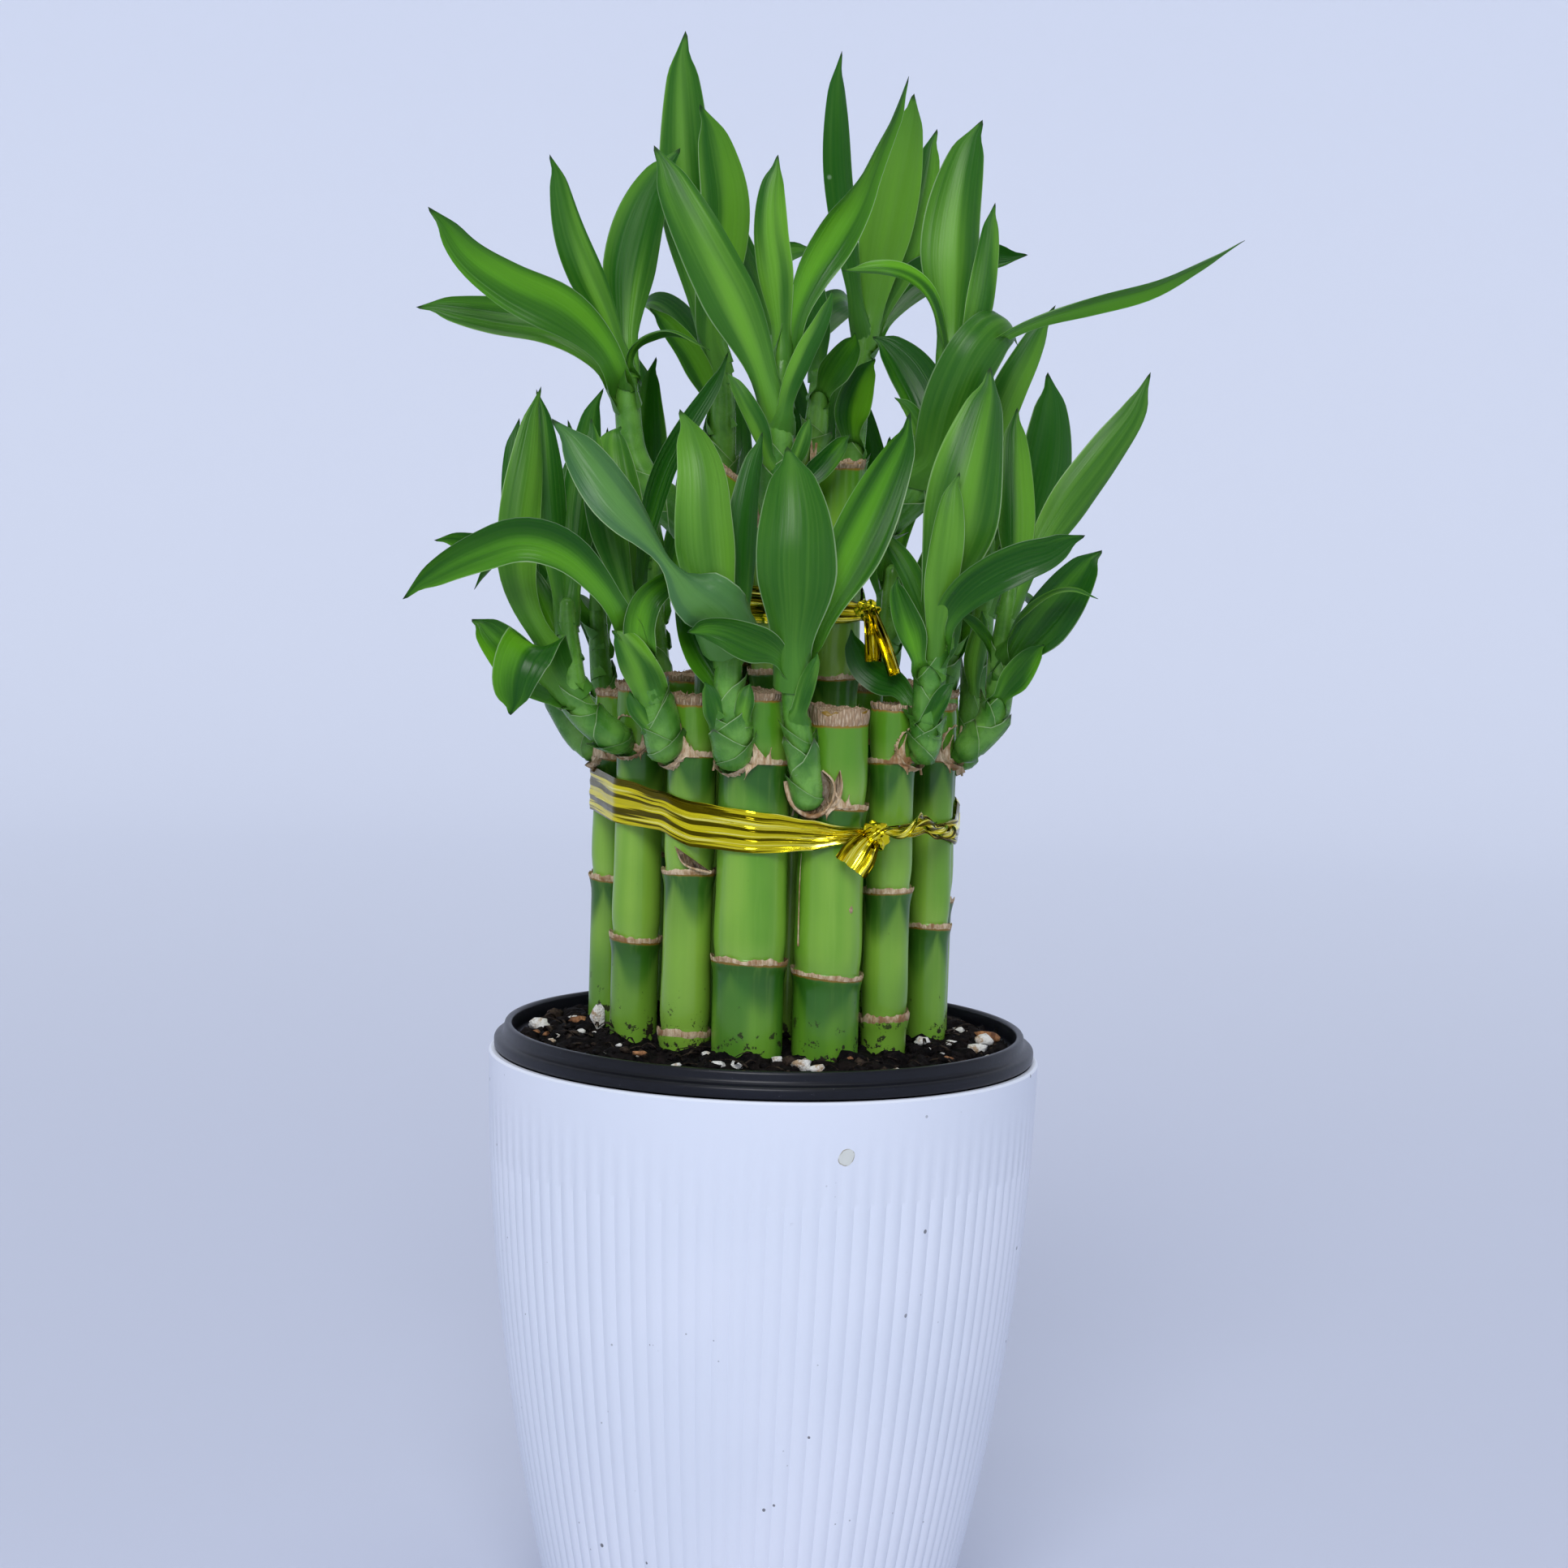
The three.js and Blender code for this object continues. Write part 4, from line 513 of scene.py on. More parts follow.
def colour(red, green, blue):
    """A colour as seen on a screen, 0 to 255."""
    def linear(value):
        value /= 255
        return value / 12.92 if value <= 0.04045 else ((value + 0.055) / 1.055) ** 2.4
    return (linear(red), linear(green), linear(blue), 1)


def leaf_finish(name, dark, light, rough):
    finish = Finish(name, IOR=1.45, Specular_IOR_Level=0.3)
    across, along = finish.across_along()
    place = finish.place()
    tone = finish.attribute("tone")
    edge = abs(across)
    dull = tone.rise(1.0, 1.1)
    # one soft band of painted light and shade, finer strips and fine veins run the length of the leaf
    bands = finish.noise(finish.vector(across + tone * 9, along * 0.9, tone * 40), 1.0, 1, 0.4)
    strips = finish.noise(finish.vector(across * 4.5, along * 0.9, tone * 60), 1.0, 2, 0.5)
    streaks = finish.noise(finish.vector(across * 26, along * 1.1, tone * 80), 1.0, 3, 0.6)
    lines = (across * finish.attribute("veins") + strips * 3).sine() * 0.5 + 0.5
    pale = (bands.rise(0.36, 0.66) - 0.44) * 0.66 + (strips - 0.5) * 0.5 + tone - dull * 0.75
    finish.paint(pale.rise(0, 1), light, dark)
    # painted light: a bright yellow-green glow where the band is lightest
    finish.paint(bands.rise(0.54, 0.72) * 0.34, colour(126, 198, 36))
    finish.paint(streaks.rise(0.5, 0.75) * 0.16, light)
    finish.paint(lines * streaks * 0.07, colour(150, 196, 90))
    finish.paint(dull * 0.55, colour(84, 122, 92))
    finish.paint(along.rise(0.6, 1.0) * 0.5, dark)
    finish.paint((1 - along.rise(0.0, 0.34)) * 0.5, colour(96, 158, 58))
    # painted light: a thin pale rim where the edge of the leaf catches the light
    margin = edge.rise(0.955, 0.972) * along.rise(0.02, 0.1) * strips.rise(0.3, 0.62)
    finish.paint(margin * 0.5, colour(190, 216, 164))
    tip = (along + streaks * 0.03).rise(0.955, 0.99)
    finish.paint(tip * 0.8, colour(24, 40, 18))
    spots = finish.cells(place, 110)
    wet = (1 - spots.rise(0.04, 0.1)) * finish.noise(place, 26, 1).rise(0.58, 0.68)
    finish.paint(wet * 0.4, colour(186, 212, 176))
    veined = finish.bump(lines * 0.2 + streaks * 0.8, 0.00008, 0.5)
    ripple = finish.noise(finish.stretched(place, 1, 1, 0.5), 70, 1)
    finish.glow_through(colour(112, 190, 16), 0.24)
    return finish.done(rough + streaks * 0.14 + wet * 0.12, ripple + strips * 0.6, 0.0012, 0.4, veined)


def sheath_finish(name, dark, light):
    """The smooth green of stems and of the short sheaths round them, pale at their edges."""
    finish = Finish(name, IOR=1.45, Specular_IOR_Level=0.4)
    across, along = finish.across_along()
    place = finish.place()
    tone = finish.attribute("tone")
    rim = finish.attribute("veins")
    streaks = finish.noise(finish.vector(across * 9, along * 0.8, tone * 30), 1.0, 3, 0.6)
    patch = finish.noise(place, 90, 2)
    mottle = finish.noise(place, 240, 3, 0.6, 0.6)
    finish.paint(patch.rise(0.35, 0.68) * 0.8 + tone * 0.2, light, dark)
    finish.paint(mottle.rise(0.5, 0.7) * 0.4, colour(46, 104, 34))
    finish.paint(streaks.rise(0.45, 0.75) * 0.2, colour(142, 190, 92))
    # a sheath is deeper green towards its mouth, with a thin pale edge and a dry point
    finish.paint(along.rise(0.45, 0.95) * rim * 0.4, colour(40, 96, 30))
    edge = along.rise(0.955, 0.985) * rim
    finish.paint(edge * 0.6, colour(186, 212, 156))
    dry = along.rise(0.9, 0.98) * (1 - abs(across).rise(0.02, 0.1)) * rim
    finish.paint(dry * 0.85, colour(44, 50, 26))
    finish.glow_through(colour(112, 180, 20), 0.12)
    return finish.done(0.2 + mottle * 0.16, streaks * 0.4 + mottle, 0.0003, 0.35)


def cane_finish():
    finish = Finish("cane_green", IOR=1.46, Specular_IOR_Level=0.26, Coat_Roughness=0.14)
    around, height = finish.across_along()
    place = finish.place()
    under = finish.attribute("under_ring")
    over = finish.attribute("over_ring")
    tone = finish.attribute("tone")
    from_top = finish.attribute("from_top")
    long_grain = finish.stretched(place, 1, 1, 0.06)
    grain = finish.noise(long_grain, 420, 3, 0.6)
    bands = finish.noise(long_grain, 110, 2)
    cloud = finish.noise(place, 34, 2)
    # dark below each ring, in points that hang down round the cane
    points = abs((around * (3 * math.pi) + tone * 20).sine()) * 11 + bands * 7 - 4
    patch = 1 - (under - points).rise(-1, 6)
    shade = 1 - (under + cloud * 8).rise(2, 26)
    light = colour(134, 178, 60)
    mid = colour(92, 148, 34)
    deep = colour(26, 80, 14)
    finish.paint((bands * 0.7 + cloud * 0.5).rise(0.4, 0.8), light, mid)
    finish.paint(tone * 0.35, colour(156, 190, 72))
    finish.paint((shade * 0.6 + patch * 0.45).smaller(0.9), deep)
    # painted shade: darker, deeper green near the top of each cane, under the leaves
    finish.paint((1 - from_top.rise(8, 20)) * 0.7, colour(66, 128, 16))
    finish.paint((1 - over.rise(0, 8)) * 0.3, colour(150, 190, 86))
    finish.paint(grain.rise(0.5, 0.8) * 0.14, colour(164, 200, 92))
    finish.paint(cloud.rise(0.5, 0.8) * 0.25, colour(76, 140, 28))
    low_part = 1 - height.rise(0.186, 0.2)
    finish.paint(low_part * bands.rise(0.3, 0.6) * (0.75 - tone * 0.7), colour(46, 108, 20))
    # thin brown lines against the rings and under the cut
    line = (1 - (under - grain * 0.6).rise(0.2, 0.7)) * 0.7
    line = line.bigger((1 - (from_top + grain * 0.8).rise(0.5, 1.1)) * 0.8)
    finish.paint(line, colour(150, 98, 36))
    # dirt specks and scuffs, thickest near the potting mix
    low = 1 - height.rise(0.171, 0.2)
    specks = finish.cells(finish.stretched(place, 1, 1, 0.8), 420)
    dirt = (1 - specks.rise(0.1, 0.17)) * finish.noise(place, 150, 2).rise(0.56, 0.66)
    grime = finish.noise(place, 230, 4, 0.75)
    dirt = (dirt * (low * 0.75 + 0.14)).bigger((grime - 0.13 + low * 0.2).rise(0.62, 0.67) * low)
    finish.paint(dirt.smaller(1), colour(38, 30, 22))
    finish.feed("Coat Weight", (1 - dirt.smaller(1)) * 0.3)
    return finish.done(0.26 + grain * 0.14 + dirt * 0.4 + line * 0.3,
                       grain * 0.7 + cloud * 0.4, 0.0002, 0.3)


def husk_finish():
    finish = Finish("dry_husk", IOR=1.4)
    place = finish.place()
    fibre = finish.noise(finish.stretched(place, 1, 1, 0.3), 900, 4, 0.7)
    patch = finish.noise(place, 170, 3)
    finish.paint(fibre.rise(0.3, 0.7), colour(222, 200, 166), colour(160, 126, 84))
    finish.paint(patch.rise(0.5, 0.66) * 0.8, colour(134, 90, 46))
    return finish.done(0.75 + fibre * 0.2, fibre + patch * 0.6, 0.0005, 0.9)


def cut_finish():
    finish = Finish("cut_fibre", IOR=1.4)
    place = finish.place()
    fibre = finish.cells(finish.stretched(place, 1, 1, 0.25), 1700)
    patch = finish.noise(place, 300, 4, 0.7)
    finish.paint(fibre.rise(0.1, 0.6), colour(164, 136, 106), colour(206, 184, 154))
    finish.paint(patch.rise(0.52, 0.7) * 0.5, colour(124, 94, 68))
    return finish.done(0.9, fibre + patch, 0.0005, 0.9)


# The dried drop on the cover pot's front in metres. It runs right through in Y.
DROP_PLACE = (0.0229, 0, 0.1503)
DROP_TURN = (0, 0.5, 0)
DROP_SIZE = (0.0019, 1000, 0.0024)


def white_pot_finish():
    finish = Finish("white_pot", IOR=1.48)
    place = finish.place()
    cloud = finish.noise(place, 9, 2)
    finish.paint(cloud.rise(0.35, 0.7), colour(231, 234, 243), colour(222, 227, 237))
    dots = finish.cells(place, 95)
    speck = (1 - dots.rise(0.05, 0.062)) * finish.noise(place, 24, 1).rise(0.46, 0.52)
    fine = (1 - finish.cells(place, 260).rise(0.05, 0.08)) * finish.noise(place, 40, 1).rise(0.6, 0.66)
    finish.paint((speck + fine * 0.6).smaller(1) * 0.8, colour(62, 60, 60))
    from_drop = finish.node("ShaderNodeMapping", {"vector_type": "TEXTURE"},
                            {"Vector": place, "Location": DROP_PLACE, "Rotation": DROP_TURN,
                             "Scale": DROP_SIZE})
    reach = finish.length(from_drop) + finish.noise(place, 420, 3) * 0.4 - 0.2
    drop = 1 - reach.rise(1.0, 1.08)
    ring = reach.rise(0.88, 0.98) * drop * finish.noise(place, 330, 2).rise(0.38, 0.55)
    finish.paint(drop * 0.65, colour(206, 206, 186))
    finish.paint(ring * 0.85, colour(140, 130, 104))
    return finish.done(0.36 + cloud * 0.08 + drop * 0.1,
                       finish.noise(place, 700, 2) * 0.3 + drop * 0.6, 0.00012, 0.4)


def black_pot_finish():
    finish = Finish("black_pot", IOR=1.45, Specular_IOR_Level=0.35)
    place = finish.place()
    dust = finish.noise(place, 620, 4, 0.7)
    scratch = finish.noise(finish.stretched(place, 0.12, 0.12, 5), 260, 2)
    finish.paint(finish.noise(place, 25, 2).rise(0.3, 0.7), colour(14, 16, 26), colour(8, 9, 16))
    marks = dust.rise(0.68, 0.78) * 0.55 + scratch.rise(0.7, 0.78) * 0.3
    finish.paint(marks.smaller(1), colour(132, 134, 142))
    return finish.done(0.3 + marks * 0.4 + dust * 0.1, dust, 0.0001, 0.3)


def mix_finish(name, dark, light, glints):
    finish = Finish(name, IOR=1.4, Specular_IOR_Level=0.1)
    place = finish.place()
    grain = finish.noise(place, 520, 5, 0.7)
    clump = finish.noise(place, 120, 3)
    finish.paint(grain.rise(0.35, 0.7), light, dark)
    finish.paint(clump.rise(0.52, 0.7) * 0.4, colour(38, 30, 26))
    return finish.done(0.9 - glints * grain, grain + clump, 0.0008, 0.9)


def perlite_finish():
    finish = Finish("perlite_white", IOR=1.4)
    place = finish.place()
    pores = finish.cells(place, 1400)
    stain = finish.noise(place, 300, 4, 0.7)
    finish.paint(stain.rise(0.5, 0.66) * 0.9, colour(170, 138, 98), colour(226, 224, 216))
    finish.paint((1 - pores.rise(0.1, 0.35)) * 0.5, colour(120, 108, 92))
    return finish.done(0.9, pores, 0.0003, 0.8)


def bark_finish():
    finish = Finish("bark_brown", IOR=1.4)
    place = finish.place()
    grain = finish.noise(finish.stretched(place, 1, 0.2, 0.6), 500, 4, 0.65)
    finish.paint(grain.rise(0.3, 0.7), colour(188, 134, 88), colour(96, 60, 36))
    return finish.done(0.85, grain, 0.0005, 0.8)


def gold_finish():
    finish = Finish("gold_foil", Metallic=1.0, IOR=1.5)
    across, along = finish.across_along()
    place = finish.place()
    # long streaks mirror the lighter and the darker parts of the room
    run = along * finish.attribute("veins")
    broad = finish.noise(finish.vector(run, across * 1.9, 3), 1.0, 1, 0.4)
    fine = finish.noise(finish.vector(run * 1.6, across * 7, 9), 1.0, 2, 0.5)
    crumple = finish.cells(place, 170)
    # painted reflection: the band is painted darker where its mark says it is on the left
    level = broad * 0.62 + fine * 0.38 - finish.attribute("tone") * 0.05
    finish.paint(level.rise(0.45, 0.49), colour(226, 208, 36), colour(88, 78, 6))
    finish.paint(level.rise(0.54, 0.57), colour(255, 246, 120))
    # painted highlights: fine bright glints
    finish.paint(fine.rise(0.62, 0.66) * 0.8, colour(255, 244, 120))
    return finish.done(0.07 + broad * 0.1, fine + crumple * 0.3, 0.0008, 0.35)


LEAF_UPPER = leaf_finish("leaf_upper", colour(22, 82, 8), colour(94, 164, 28), 0.23)
LEAF_UNDER = leaf_finish("leaf_under", colour(34, 96, 18), colour(108, 166, 52), 0.28)
STEM = sheath_finish("stem_green", colour(72, 130, 38), colour(112, 170, 66))
BRACT = sheath_finish("bract_green", colour(64, 126, 38), colour(122, 178, 76))
CANE = cane_finish()
HUSK = husk_finish()
CUT = cut_finish()
WHITE_POT = white_pot_finish()
BLACK_POT = black_pot_finish()
POTTING_MIX = mix_finish("potting_mix", colour(5, 5, 6), colour(30, 25, 24), 0.3)
FIBRE = mix_finish("dark_fibre", colour(20, 16, 15), colour(78, 65, 54), 0.25)
PERLITE = perlite_finish()
BARK = bark_finish()
GOLD = gold_finish()

SHOOT_FINISHES = [LEAF_UPPER, LEAF_UNDER, STEM, BRACT]
UPPER_SLOT, UNDER_SLOT, STEM_SLOT, BRACT_SLOT = range(4)
CANE_FINISHES = [CANE, HUSK, CUT]
CANE_SLOT, HUSK_SLOT, CUT_SLOT = range(3)


# Shapes

TINY = 1e-9
SEAM = 1e-4
PATH_STEPS = 200
MARKS = ("tone", "veins", "under_ring", "over_ring", "from_top")


def smooth_step(value, low, high):
    part = min(max((value - low) / (high - low), 0), 1)
    return part * part * (3 - 2 * part)


def blend(first, second, part):
    return first + (second - first) * part


def between(values, part):
    """The value at a share of the way through evenly spaced values."""
    place = part * (len(values) - 1)
    low = min(int(place), len(values) - 2)
    return blend(values[low], values[low + 1], place - low)


def hill(off, width):
    """1 at no distance, falling off smoothly to both sides."""
    return math.exp(-(off / width) ** 2)


def bulge(across):
    """How thick a blade is across its width: 1 in the middle, 0 at both edges."""
    return math.sqrt(max(1 - across * across, 0))


def polar(angle, out, up=0):
    return Vector((math.cos(angle) * out, math.sin(angle) * out, up))


def seen(point):
    """A point as read from the front, moved to its depth along the line of sight."""
    across, up, depth = point[:3]
    return EYE + (Vector((across, 0, DATUM + up)) - EYE) * ((depth - EYE.y) / -EYE.y)


def running_lengths(points):
    """How far along the line through the points each of them lies."""
    lengths = [0]
    for first, second in zip(points, points[1:]):
        lengths.append(lengths[-1] + (second - first).length)
    return lengths


def step_at(lengths, share):
    """The step of a line that a share of its length ends in, and the share of that step."""
    goal = lengths[-1] * share
    low = min(bisect_right(lengths, goal), len(lengths) - 1) - 1
    return low, min((goal - lengths[low]) / max(lengths[low + 1] - lengths[low], TINY), 1)


def smooth_path(points, steps):
    """Places and directions at even distances along the curve through the given points."""
    last = len(points) - 1
    knots = [points[0] * 2 - points[1], *points, points[-1] * 2 - points[-2]]
    fine = []
    for i in range(PATH_STEPS + 1):
        place = i / PATH_STEPS * last
        low = min(int(place), last - 1)
        s = place - low
        before, start, end, after = knots[low:low + 4]
        leave, arrive = (end - before) * 0.5, (after - start) * 0.5
        fine.append(start * (2 * s ** 3 - 3 * s * s + 1) + leave * (s ** 3 - 2 * s * s + s)
                    + end * (3 * s * s - 2 * s ** 3) + arrive * (s ** 3 - s * s))
    lengths = running_lengths(fine)
    places = []
    for i in range(steps + 1):
        low, part = step_at(lengths, i / steps)
        places.append(fine[low].lerp(fine[low + 1], part))
    forward = [(places[min(i + 1, steps)] - places[max(i - 1, 0)]).normalized()
               for i in range(steps + 1)]
    return places, forward


def carried(forward, outward):
    """Faces along a curve, carried from outward without twisting."""
    face, faces = outward.copy(), []
    for way in forward:
        face = (face - way * face.dot(way)).normalized()
        faces.append(face)
    return faces


def layers(bm):
    """The map and the attributes that the finishes read."""
    found = {"map": bm.loops.layers.uv.get("UVMap") or bm.loops.layers.uv.new("UVMap")}
    for name in MARKS:
        found[name] = bm.verts.layers.float.get(name) or bm.verts.layers.float.new(name)
    return found


def grid(bm, columns, rows, marks):
    """A flat sheet to be shaped, with its marks set."""
    named = layers(bm)
    verts = bmesh.ops.create_grid(bm, x_segments=columns, y_segments=rows, size=0.5)["verts"]
    for vert in verts:
        for mark, value in marks.items():
            vert[named[mark]] = value
    return verts, {face for vert in verts for face in vert.link_faces}, named["map"]


def sew(bm, verts, close):
    bmesh.ops.remove_doubles(bm, verts=verts, dist=SEAM)
    edges = [edge for edge in {edge for vert in verts if vert.is_valid for edge in vert.link_edges}
             if edge.is_boundary]
    if edges and close:
        bmesh.ops.holes_fill(bm, edges=edges, sides=0)


def skin(bm, columns, rows, shape, slots, close=True, **marks):
    """A thin closed blade: a grid wrapped round so that its halves are the two faces.

    shape(across, along, side) gives the place of a point on the upper (1) or under (-1) face.
    slots are the finishes of the two faces.
    """
    verts, faces, flat = grid(bm, columns * 2, rows, marks)
    for face in faces:
        upper = face.calc_center_median().x < 0
        face.material_index = slots[0] if upper else slots[1]
        for loop in face.loops:
            around = loop.vert.co.x + 0.5
            across = 4 * around - 1 if upper else 3 - 4 * around
            loop[flat].uv = (across, loop.vert.co.y + 0.5)
    for vert in verts:
        around, along = vert.co.x + 0.5, vert.co.y + 0.5
        if around <= 0.5:
            vert.co = shape(4 * around - 1, along, 1)
        else:
            vert.co = shape(3 - 4 * around, along, -1)
    sew(bm, verts, close)
    return [vert for vert in verts if vert.is_valid]


def tube(bm, sides, rows, place, slot, **marks):
    """A closed tube: place(angle, along) gives its points; both ends are drawn together."""
    verts, faces, flat = grid(bm, sides, rows, marks)
    for face in faces:
        face.material_index = slot
        for loop in face.loops:
            loop[flat].uv = (loop.vert.co.x * 2, loop.vert.co.y + 0.5)
    for vert in verts:
        vert.co = place((vert.co.x + 0.5) * math.tau, vert.co.y + 0.5)
    sew(bm, verts, True)


def strip(bm, points, columns, steps, shape, slot, **marks):
    """A thin strip along a curve, its shape given as shifts sideways, outward and forward."""
    places, forward = smooth_path(points, steps)
    faces = carried(forward, TOWARDS_FRONT)

    def place(across, along, side):
        i = round(along * steps)
        aside, out, ahead = shape(across, along, side)
        return places[i] + forward[i].cross(faces[i]) * aside + faces[i] * out + forward[i] * ahead

    skin(bm, columns, steps, place, (slot, slot), **marks)


def finished(bm, name, finishes):
    """Brings a mesh to metres and puts it in the scene."""
    bmesh.ops.scale(bm, vec=Vector((MM, MM, MM)), verts=bm.verts)
    mesh = bpy.data.meshes.new(name)
    bm.to_mesh(mesh)
    bm.free()
    for finish in finishes:
        mesh.materials.append(finish)
    mesh.shade_smooth()
    piece = bpy.data.objects.new(name, mesh)
    bpy.context.scene.collection.objects.link(piece)
    return piece


def add_piece(bm, name, finishes, node, crease=None):
    bmesh.ops.recalc_face_normals(bm, faces=bm.faces)
    piece = finished(bm, name, finishes)
    if crease:
        piece.data.set_sharp_from_angle(angle=math.radians(crease))
    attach(piece, "root")
    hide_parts(node)


def turned(bm, profile, steps):
    """A profile of radius and height turned full round the Z axis."""
    verts = [bm.verts.new((radius, 0, z)) for radius, z in profile]
    edges = [bm.edges.new(pair) for pair in zip(verts, verts[1:])]
    bmesh.ops.spin(bm, geom=verts + edges, axis=UP, angle=math.tau, steps=steps, use_merge=True)
    bmesh.ops.remove_doubles(bm, verts=bm.verts, dist=SEAM)


def rounded(profile, reach, steps=4):
    """The same profile with its corners rounded off by reach."""
    points = [Vector(point) for point in profile]
    result = [points[0]]
    for before, corner, after in zip(points, points[1:], points[2:]):
        size = min(reach, (corner - before).length * 0.45, (after - corner).length * 0.45)
        start = corner + (before - corner).normalized() * size
        end = corner + (after - corner).normalized() * size
        for i in range(steps + 1):
            part = i / steps
            result.append(start.lerp(corner, part).lerp(corner.lerp(end, part), part))
    return result + [points[-1]]


# Pots


def pot_radius(drop):
    """The outer radius of the cover pot at a drop below its rim."""
    return POT_RIM_RADIUS - POT_LEAN * drop - POT_BELLY * drop * drop


def cover_pot():
    bm = bmesh.new()
    base, inner = pot_radius(POT_HEIGHT), POT_RIM_RADIUS - POT_WALL
    foot = [(0, POT_FOOT_HOLLOW), (base - POT_FOOT_INSET - 1, POT_FOOT_HOLLOW),
            (base - POT_FOOT_INSET, 0)]
    outside = [(pot_radius(drop), POT_HEIGHT - drop) for drop in range(POT_HEIGHT, 0, -POT_STEPS)]
    lip = [(POT_RIM_RADIUS, POT_HEIGHT - POT_LIP_ROUND), (POT_RIM_RADIUS - POT_LIP_ROUND, POT_HEIGHT),
           (inner + 0.5, POT_HEIGHT), (inner, POT_HEIGHT - 0.5)]
    inside = [(pot_radius(drop) - POT_WALL, POT_HEIGHT - drop) for drop in range(10, 160, 25)]
    inside += [(pot_radius(POT_HEIGHT - POT_FLOOR) - POT_WALL, POT_FLOOR), (0, POT_FLOOR)]
    turned(bm, foot + rounded(outside, 0.5, 1) + lip + inside, 4 * FLUTES)
    for vert in bm.verts:
        x, y, z = vert.co
        radius, drop = math.hypot(x, y), POT_HEIGHT - z
        if radius < pot_radius(drop) - POT_WALL * 0.6 or drop < 1 or z < 0.5:
            continue
        turn = math.atan2(y, x) / math.tau * FLUTES
        off = 2 * abs(turn - round(turn))
        scale = 1 - FLUTE_DEPTH * smooth_step(drop, FLUTE_START, FLUTE_FULL) * off ** 2 / radius
        vert.co.x *= scale
        vert.co.y *= scale
    add_piece(bm, "fluted_cover_pot", [WHITE_POT], "cover_pot", crease=40)


def nursery_pot():
    bm = bmesh.new()
    flange = POT_HEIGHT + SEAT
    slope = (NURSERY_TOP_RADIUS - NURSERY_BASE_RADIUS) / (flange - NURSERY_BASE_Z)
    profile = rounded([
        (0, NURSERY_BASE_Z), (NURSERY_BASE_RADIUS, NURSERY_BASE_Z), (NURSERY_TOP_RADIUS, flange),
        (FLANGE_RADIUS, flange), (FLANGE_RADIUS + 0.1, flange + FLANGE_THICK),
        (LIP_RADIUS + 0.2, flange + FLANGE_THICK + 0.7), (LIP_RADIUS, NURSERY_RIM_Z),
        (LIP_RADIUS - LIP_THICK, NURSERY_RIM_Z), (LIP_RADIUS - LIP_THICK, flange + 2),
        (NURSERY_TOP_RADIUS - NURSERY_WALL, flange),
        (NURSERY_BASE_RADIUS - NURSERY_WALL + slope * NURSERY_WALL, NURSERY_BASE_Z + NURSERY_WALL),
        (0, NURSERY_BASE_Z + NURSERY_WALL)], 1.0)
    turned(bm, profile, NURSERY_STEPS)
    add_piece(bm, "black_nursery_pot", [BLACK_POT], "nursery_pot", crease=50)


# Potting mix

MIX_SLOT, FIBRE_SLOT, PERLITE_SLOT, BARK_SLOT = range(4)
MIX_ROWS = 58
MIX_STEPS = 200
BANK_REACH = 6
# Loose parts of the mix that are scattered by chance: how many, and how far out they lie
SMALL_BITS, BITS_REACH = 150, 66
CRUMBS, CRUMBS_REACH = 640, 67
CLODS, CLODS_REACH = 60, 64
FIBRES, FIBRES_REACH, FIBRE_ENDS_REACH = 230, 64, 66
CRUMB_SIZES = (0.6, 0.8, 1, 1.3, 1.8, 2.6)
FIBRE_WIDTHS = (0.3, 0.5, 0.7, 0.9, 1.2, 1.6, 2.8)
UPRIGHT_CHIP = (-46, -3, 3.6)
# White and brown bits that show at the front: x, y and size
PERLITE_BITS = [
  (-62.2, -0.6, 2.7), (-54, 15, 1.5), (-50.5, -10.3, 1), (-15, -43, 1.2), (-12.3, -56, 1.8),
  (-7, -54, 1.6), (4, -51, 1.5), (10.6, -54.5, 2.4), (14.6, -56, 2), (43.7, -18.3, 1.9),
  (51.6, -34.9, 1.3), (-33.4, -45.2, 0.8), (-23.1, -56, 1.3), (-43, -42, 0.8), (56.9, 7.6, 2.1),
  (60.9, -7.6, 2.6), (58.9, -16.1, 2.2), (54.4, 12, 1.4), (51.7, -12.2, 1.4), (62, -24, 1.2),
  (36, -48, 1), (49, -25, 1), (-58, -20, 0.9), (-39, -33, 0.8), (26, -53, 0.9),
]
BARK_BITS = [(62.6, 4, 3), (61.5, 12, 2), (60, -2, 1.8), (59, -33, 1.4), (-33, -48, 1.4),
  (-52, 4, 2), (50, -30, 1.4)]


def mix_height(x, y):
    """How high the top of the mix is above its mean: lumpy, low at the pot, banked at canes."""
    place = Vector((x, y, 0))
    low = noise.fractal(place * 0.06, 1.0, 2.0, 3)
    lumps = noise.fractal(place * 0.28 + Vector((40, 0, 0)), 0.8, 2.1, 4)
    edge = smooth_step(math.hypot(x, y), 52, 68)
    bank = 0
    for _, cx, cy, radius, _, _ in CANES:
        gap = math.hypot(x - cx, y - cy) - radius
        if gap < BANK_REACH:
            bank = max(bank, (1 - max(gap, 0) / BANK_REACH) ** 2)
    bank *= 1.2 + 2.4 * noise.noise(place * 0.16 + Vector((0, 90, 0)))
    return 1.4 * low + 2.1 * lumps - 1.8 * edge + bank


def on_mix(x, y, lift):
    return Vector((x, y, SOIL_Z + mix_height(x, y) + lift))


def clear_of_canes(x, y, margin):
    return all(math.hypot(x - cx, y - cy) > radius + margin for _, cx, cy, radius, _, _ in CANES)


def scattered(rng, reach):
    """A random place within reach of the pot's axis."""
    angle, out = rng.uniform(0, math.tau), reach * math.sqrt(rng.random())
    return out * math.cos(angle), out * math.sin(angle)


